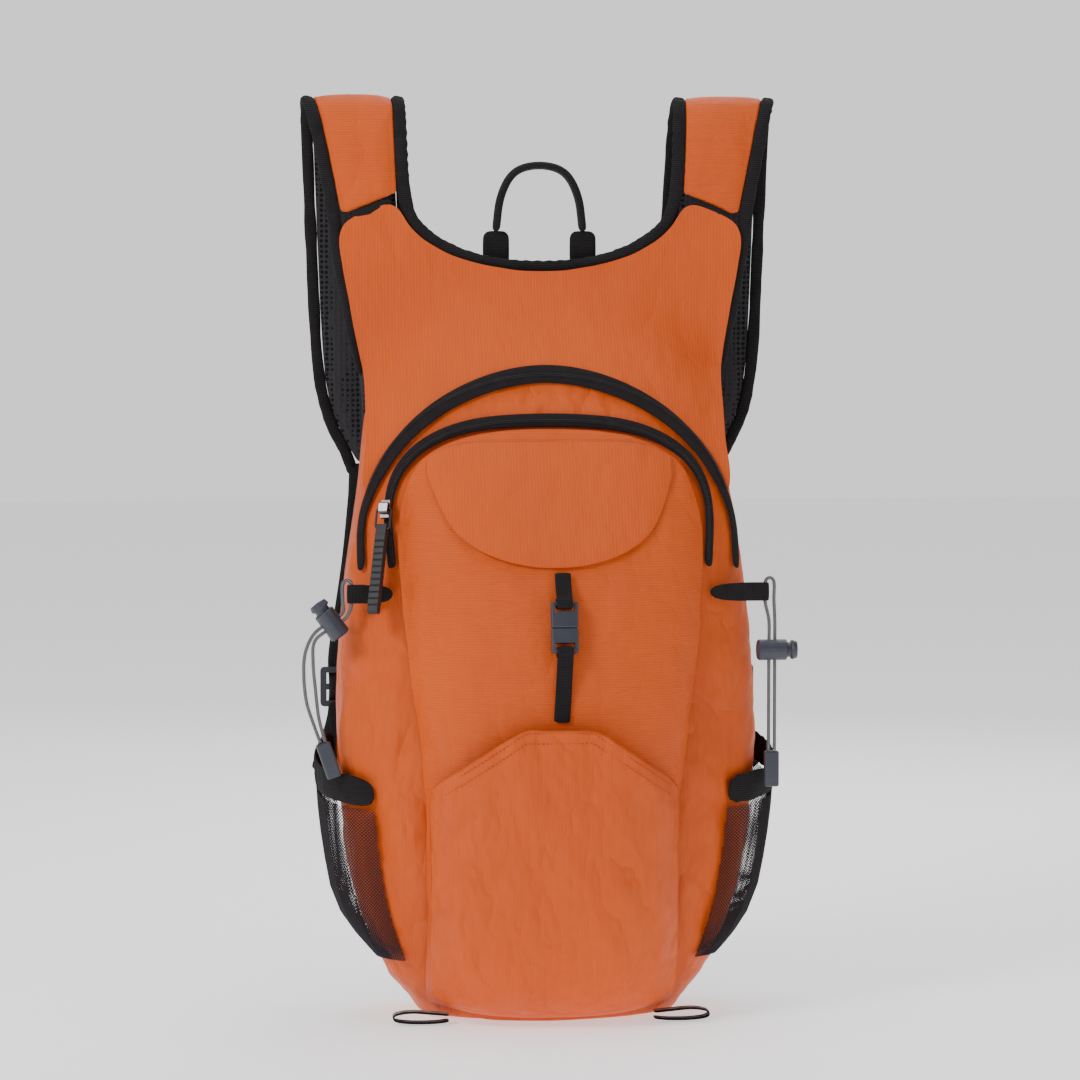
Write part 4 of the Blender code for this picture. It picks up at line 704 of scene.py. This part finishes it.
@dataclass
class Shell:
    """The sewn cloth of the body, the pockets and the yoke."""

    palette: Palette

    def body(self) -> None:
        """The main compartment's cloth."""
        def shift(p: Vector, n: Vector) -> float:
            """Wrinkles away from the base and the back seam."""
            if p.z < 4 * MM or p.y > 40 * MM:
                return 0.0
            return wrinkle_side(p) * smoothstep(0.0, 0.03, p.z) * smoothstep(0.046, 0.02, p.y) * 0.62

        SoftCopy("main_body", self.palette["cloth_fine"], "pack", 2, "orange_cloth").crease(shift)

    def front(self) -> None:
        """The front pocket, its slip-in pocket and the badge panel."""
        def shift(p: Vector, n: Vector) -> float:
            """Long folds, with finer ones towards the sides."""
            lift = fold(p, 16.0, (0.9, 1.0, 0.8), 1.7) * 2.6 * MM
            side = smoothstep(0.045, 0.09, abs(p.x)) * 1.6 * MM
            fine = fold(p, 48.0, (1.0, 1.0, 0.5), 5.2) * (0.7 * MM + side)
            return (lift + fine) * smoothstep(0.0, 0.03, p.z)

        def sag(p: Vector, n: Vector) -> float:
            """Loose folds that fall from the buckle's webbing."""
            near = math.exp(-((p.x - 0.004) / 0.016) ** 2) * smoothstep(0.09, 0.18, p.z)
            lift = fold(p, 22.0, (1.5, 1.0, 0.55), 7.7) * 2.8 * MM + fold(p, 60.0, (1.4, 1.0, 0.5), 2.9) * 0.8 * MM
            return (lift - near * 1.1 * MM) * smoothstep(0.0, 0.03, p.z)

        SoftCopy("front_pocket", self.palette["cloth_level"], "pack", 2, "orange_cloth").crease(shift)
        SoftCopy("badge_panel", self.palette["cloth_upright"], "pack", 2, "orange_cloth").crease(
            lambda p, n: fold(p, 14.0, (0.9, 1.0, 0.8), 1.7) * 1.0 * MM)
        SoftCopy("stash_pocket", self.palette["cloth_fine"], "pack", 2, "orange_cloth").crease(sag)

    def drape(self) -> None:
        """One face of cloth from the main zip up over the body's top and the yoke to the bindings."""
        depth, uncovered = self.drape_cells()
        keep = self.connected(uncovered)
        shoulders = int(DRAPE_SHOULDERS / DRAPE_STEP)
        for _ in range(2):
            keep = self.widened(keep)
            keep[:shoulders] &= ~np.isnan(depth[:shoulders])
            for r, c in zip(*np.nonzero(keep & np.isnan(depth))):
                near = depth[max(r - 2, 0):r + 3, max(c - 2, 0):c + 3]
                depth[r, c] = np.nanmean(near) if np.any(~np.isnan(near)) else BACK_SEAM_Y
        sheet = self.pulled_taut(depth - DRAPE_LIFT, keep)
        index: dict[tuple[int, int], int] = {}
        points = []
        for r, c in zip(*np.nonzero(keep)):
            index[(int(r), int(c))] = len(points)
            x, z = self.drape_place(r, c)
            y = float(sheet[r, c])
            crest = fold(Vector((x, y, z)), 15.0, (1.0, 1.0, 1.0), 2.2) + 0.5
            tuck = smoothstep(0.345, 0.305, z) * 3.5 * MM
            points.append(Vector((x, y - max(crest, 0.0) * 1.6 * MM + tuck, z)))
        faces = []
        for r, c in index:
            ring = [(r, c), (r, c + 1), (r + 1, c + 1), (r + 1, c)]
            if all(k in index for k in ring):
                faces.append([index[k] for k in ring])
        obj = mesh_piece("yoke_cloth", points, faces, self.palette["cloth_upright"])
        soften_rim(obj.data, 14)

    @staticmethod
    def drape_place(row: int, column: int) -> tuple[float, float]:
        """X and height of a cell of the draped cloth."""
        return (column - DRAPE_COLUMNS // 2) * DRAPE_STEP, DRAPE_LOW_Z + row * DRAPE_STEP

    def drape_cells(self) -> tuple[np.ndarray, np.ndarray]:
        """Finds where cloth lies, seen from the front.

        Returns:
            The cloth's y in each cell, and the cells that no trim covers.
        """
        cloth = Caster("main_body", "yoke", "back_panel")
        trims = Caster("neck_binding", "main_zip_tape", "seam_band_left", "seam_band_right",
                       "side_binding_left", "side_binding_right")
        depth = np.full((DRAPE_ROWS, DRAPE_COLUMNS), np.nan)
        uncovered = np.zeros((DRAPE_ROWS, DRAPE_COLUMNS), dtype=bool)
        for r in range(DRAPE_ROWS):
            for c in range(DRAPE_COLUMNS):
                x, z = self.drape_place(r, c)
                found, trim = cloth.front(x, z), trims.front(x, z)
                if found:
                    depth[r, c] = found[0].y
                    uncovered[r, c] = trim is None or trim[0].y > found[0].y
        return depth, uncovered

    @staticmethod
    def connected(uncovered: np.ndarray) -> np.ndarray:
        """The uncovered cells that join up with the middle of the yoke."""
        keep = np.zeros_like(uncovered)
        stack = [(int((DRAPE_SEED_Z - DRAPE_LOW_Z) / DRAPE_STEP), DRAPE_COLUMNS // 2)]
        while stack:
            r, c = stack.pop()
            if 0 <= r < DRAPE_ROWS and 0 <= c < DRAPE_COLUMNS and uncovered[r, c] and not keep[r, c]:
                keep[r, c] = True
                stack += [(r + 1, c), (r - 1, c), (r, c + 1), (r, c - 1)]
        return keep

    @staticmethod
    def widened(keep: np.ndarray) -> np.ndarray:
        """The same cells with one more all round, so that the edge hides under the trims."""
        wider = keep.copy()
        wider[1:, :] |= keep[:-1, :]
        wider[:-1, :] |= keep[1:, :]
        wider[:, 1:] |= keep[:, :-1]
        wider[:, :-1] |= keep[:, 1:]
        return wider

    @staticmethod
    def pulled_taut(limit: np.ndarray, keep: np.ndarray) -> np.ndarray:
        """Stretches the cloth over the dips without letting it sink behind the limit."""
        sheet = limit.copy()
        for _ in range(60):
            padded = np.pad(np.where(keep, sheet, np.nan), 1, constant_values=np.nan)
            around = np.stack([padded[2:, 1:-1], padded[:-2, 1:-1], padded[1:-1, 2:], padded[1:-1, :-2]])
            count = np.maximum((~np.isnan(around)).sum(0), 1)
            sheet = np.where(keep, np.minimum(np.nansum(around, 0) / count, limit), sheet)
        return sheet

    def yoke(self) -> None:
        """The yoke above the body."""
        SoftCopy("yoke", self.palette["cloth_upright"], "pack", 2, "orange_cloth").crease(
            lambda p, n: fold(p, 15.0, (1.0, 1.0, 1.0), 2.2) * 1.6 * MM)

    def back(self) -> None:
        """The padded back, quilted in channels."""
        def shift(p: Vector, n: Vector) -> float:
            """Sunk seams between the quilted channels."""
            if p.y < 0.047:
                return 0.0
            channel = min(abs(math.sin(math.pi * (p.x + 0.24) / 0.08)), 1.0)
            seam = 1.0 - smoothstep(0.0, 0.22, channel)
            return -seam * 3.0 * MM * smoothstep(0.02, 0.06, p.z) * smoothstep(0.44, 0.40, p.z)

        pad = SoftCopy("back_panel", self.palette["spacer_mesh"], "pack", 2, "spacer_mesh").crease(shift)


@dataclass
class Harness:
    """Shoulder straps, seam bands and bindings."""

    palette: Palette

    def build(self) -> None:
        """Dresses both sides."""
        for _, word in SIDES:
            def pad(p: Vector, n: Vector) -> float:
                """Soft folds on the faces, and fuller edges."""
                edge = 1.0 - smoothstep(0.35, 0.8, max(abs(n.y), abs(n.z)))
                return fold(p, 28.0, (0.7, 1.0, 1.0), 4.4) * 0.9 * MM * (1.0 - edge) + edge * 1.5 * MM

            upper = SoftCopy("strap_upper_" + word, self.palette["cloth_level"], "pack", 2, "orange_cloth")
            upper.crease(pad)
            lower = SoftCopy("strap_lower_" + word, self.palette["spacer_mesh"], "strap_" + word, 2, "orange_cloth")
            lower.crease(pad)
            self.outer_face(lower.obj)
            self.edge("side_binding_" + word, "pack")
            self.edge("strap_binding_" + word, "strap_" + word)
            self.edge("seam_band_" + word, "pack")
        self.edge("neck_binding", "pack")

    def outer_face(self, obj: bpy.types.Object) -> None:
        """Gives the face turned away from the back the outer cloth."""
        obj.data.materials.append(self.palette["cloth_level"])
        for face in obj.data.polygons:
            if face.normal.y > 0.1 or face.normal.z > 0.6:
                face.material_index = 1

    def edge(self, node: str, body: str) -> None:
        """A folded binding, puckered along its length."""
        grow = 1.0 * MM if node.startswith("seam_band") else 0.0
        SoftCopy(node, self.palette["binding"], body, 2, "black_webbing").crease(
            lambda p, n: grow + 0.35 * MM * math.sin(p.x * 900) * math.sin(p.z * 900 + p.y * 700))


@dataclass
class SideNet:
    """A knitted side pocket drawn as its yarn."""

    side: float
    word: str
    palette: Palette
    yarn: float = 0.72 * MM
    cell: float = 2.0 * MM

    def build(self) -> None:
        """Knits the net over the CAD pocket and dresses its band."""
        caster = Caster("net_pocket_" + self.word)
        low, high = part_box("net_pocket_" + self.word)
        centre = Vector((self.side * 0.06, 0.012, 0.0))
        step = self.cell
        rows = int((high.z - low.z - 0.6 * MM) / (step * 0.5))
        turns = int(math.radians(215) * 0.072 / step)
        grid: dict[tuple[int, int], int] = {}
        points: list[Vector] = []
        for r in range(rows):
            z = low.z + 0.3 * MM + r * step * 0.5
            for c in range(turns):
                shift = 0.5 if r % 2 else 0.0
                angle = math.radians(-75) + math.radians(215) * (c + shift) / turns
                out = Vector((self.side * math.cos(angle), math.sin(angle), 0.0))
                found = caster.hit(centre + out * 0.3 + Vector((0, 0, z)), -out)
                if found and (found[0] - centre - Vector((0, 0, z))).dot(out) > 0.0:
                    if abs(found[1].z) < 0.9:
                        grid[(r, c)] = len(points)
                        points.append(found[0])
        faces = []
        for (r, c), i in grid.items():
            s = c + 1 if r % 2 else c
            corners = [(r, c), (r + 1, s), (r + 2, c), (r + 1, s - 1)]
            if all(k in grid for k in corners):
                quad = [grid[k] for k in corners]
                spans = [(points[quad[k]] - points[quad[(k + 1) % 4]]).length for k in range(4)]
                if max(spans) < step * 2.2:
                    faces.append(quad)
        obj = mesh_piece("net_" + self.word, points, faces, self.palette["net_yarn"])
        wire = obj.modifiers.new("yarn", "WIREFRAME")
        wire.thickness = self.yarn
        wire.use_even_offset = False
        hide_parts("net_pocket_" + self.word)
        SoftCopy("net_band_" + self.word, self.palette["binding"], "pack", 2, "black_webbing").crease(
            lambda p, n: 0.45 * MM * math.sin(p.y * 1500 + p.x * 900))


@dataclass
class Closures:
    """Zips with their coils and the pull."""

    palette: Palette

    def build(self) -> None:
        """Dresses both tapes, the coils and the slider."""
        for node in ("front_zip_tape", "main_zip_tape"):
            SoftCopy(node, self.palette["zip_tape"], "pack", 2, "zip_tape")
        self.coil("front_coil", Caster("front_zip_tape"), self.front_line())
        self.coil("main_coil", Caster("main_zip_tape"), self.main_line())
        paint("front_zip_slider", self.palette["plated"])
        paint("front_zip_ring", self.palette["plated"])
        paint("front_zip_pull", self.palette["pull_rubber"])

    def front_line(self) -> list[tuple[float, float]]:
        """Middle of the front zip from its left foot to its right foot."""
        run = [(-95.5, 280), (-96.6, 292), (-97, 302)]
        run += [(-97.6 * math.cos(t) ** (2 / 2.6), 300 + 64.3 * math.sin(t) ** (2 / 2.6))
                for t in np.linspace(0.12, math.pi / 2, 26)]
        run += [(-x, z) for x, z in reversed(run[:-1])]
        return [(x * MM, z * MM) for x, z in run]

    def main_line(self) -> list[tuple[float, float]]:
        """Middle of the main zip over the top of the body."""
        return [(113.5 * MM * math.sin(t), (298 + 94 * math.cos(t)) * MM) for t in np.linspace(-1.33, 1.33, 61)]

    def coil(self, name: str, caster: Caster, line: Sequence[tuple[float, float]]) -> None:
        """A fine ridge of coil teeth along the middle of a tape."""
        teeth = Stitches(name)
        spots = [found for x, z in line if (found := caster.front(x, z))]
        for shift in (-0.55, 0.55):
            row = []
            for k, (p, n) in enumerate(spots):
                run = spots[min(k + 1, len(spots) - 1)][0] - spots[max(k - 1, 0)][0]
                row.append((p + n * 0.1 * MM + run.cross(n).normalized() * shift * MM, n))
            teeth.row(row, 1.15 * MM, 0.42 * MM)
        teeth.finish(self.palette["dark_thread"])


def paint(node: str, material: bpy.types.Material) -> None:
    """Gives a CAD node a finish."""
    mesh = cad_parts[node].data
    mesh.materials.clear()
    mesh.materials.append(material)


@dataclass
class Webbings:
    """Handle, strap webbings, side tabs, buckle webbings and lash loops."""

    palette: Palette

    def build(self) -> None:
        """Dresses each webbing."""
        for node, body in (("grab_handle", "handle"), ("handle_tab_left", "handle"), ("handle_tab_right", "handle")):
            thicker = 1.1 * MM if node == "grab_handle" else 0.0
            SoftCopy(node, self.palette["webbing"], body, 2, "black_webbing").crease(lambda p, n, t=thicker: t)
        for _, word in SIDES:
            for node in ("side_tab_", "lock_tab_"):
                SoftCopy(node + word, self.palette["webbing_across"], "pack", 2, "black_webbing")
            loop = SoftCopy("lash_loop_" + word, self.palette["webbing_across"], "pack", 2, "black_webbing")
            loop.obj.data.materials.append(self.palette["stripe"])
            for face in loop.obj.data.polygons:
                if abs(face.center.y - LASH_MIDDLE_Y) < STRIPE_HALF:
                    face.material_index = 1
            self.strap_webbing(word)
        SoftCopy("upper_webbing", self.palette["webbing"], "pack", 1, "black_webbing")
        lower = SoftCopy("lower_webbing", self.palette["webbing"], "", 1, "black_webbing")
        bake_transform(lower.obj)

    def strap_webbing(self, word: str) -> None:
        """The webbing between a strap's end and its ladder lock."""
        piece = SoftCopy("strap_webbing_" + word, self.palette["webbing"], "", 1, "black_webbing")
        low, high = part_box("strap_webbing_" + word)
        sewn_in = 11.0 * MM
        for vert in piece.obj.data.vertices:
            vert.co.z += sewn_in * smoothstep(high.z - 12 * MM, high.z - 1 * MM, vert.co.z)
        piece.obj.data.update()
        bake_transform(piece.obj)


class Hardware:
    """Moulded parts keep their CAD shapes."""

    NODES = ("buckle_female", "buckle_male")
    PAIRS = ("ladder_lock_", "cord_lock_", "lock_plunger_", "cord_end_")

    def __init__(self, palette: Palette) -> None:
        """Gives each its plastic."""
        for node in self.NODES + tuple(pair + word for pair in self.PAIRS for _, word in SIDES):
            paint(node, palette["slate_plastic"])


@dataclass
class Seams:
    """Rows of thread along the edges and seams."""

    palette: Palette

    def build(self) -> None:
        """Sews the visible rows."""
        self.badge()
        self.stash()

    def badge(self) -> None:
        """A row round the lower edge of the badge panel."""
        caster = Caster("badge_panel")
        rows = Stitches("badge_stitches")
        line = []
        for u in np.linspace(-0.97, 0.97, 60):
            x = u * 72.0 * MM
            low = 273.0 * MM + 58.0 * MM * (1 - max(1 - abs(u * 72 / 74) ** 2.2, 0.0) ** 0.5)
            found = caster.front(x, low + 1.6 * MM)
            if found:
                line.append((found[0] + found[1] * 0.05 * MM, found[1]))
        rows.row(line, 2.4 * MM, 0.24 * MM)
        rows.finish(self.palette["thread"])

    def stash(self) -> None:
        """Two rows under the slip-in pocket's mouth."""
        caster = Caster("stash_pocket")
        rows = Stitches("mouth_stitches")
        for drop in (2.0, 8.0):
            line = []
            for x in np.linspace(-70 * MM, 70 * MM, 90):
                share = max(abs(x) - 20 * MM, 0.0) / (55.5 * MM)
                found = caster.front(x, 184 * MM - 38 * MM * share - drop * MM)
                if found:
                    line.append((found[0] + found[1] * 0.05 * MM, found[1]))
            rows.row(line, 2.6 * MM, 0.24 * MM)
        rows.finish(self.palette["thread"])


def main() -> None:
    """Builds the daypack."""
    studio = Studio()
    studio.shoot_from()
    palette = Palette()
    for side, word in SIDES:
        SideCord(side, word).build(palette["flecked_cord"])
    studio.light()
    shell = Shell(palette)
    shell.body()
    shell.front()
    shell.yoke()
    shell.drape()
    shell.back()
    Harness(palette).build()
    for side, word in SIDES:
        SideNet(side, word, palette).build()
    Closures(palette).build()
    Webbings(palette).build()
    Hardware(palette)
    Seams(palette).build()


if __name__ == "__main__":
    main()
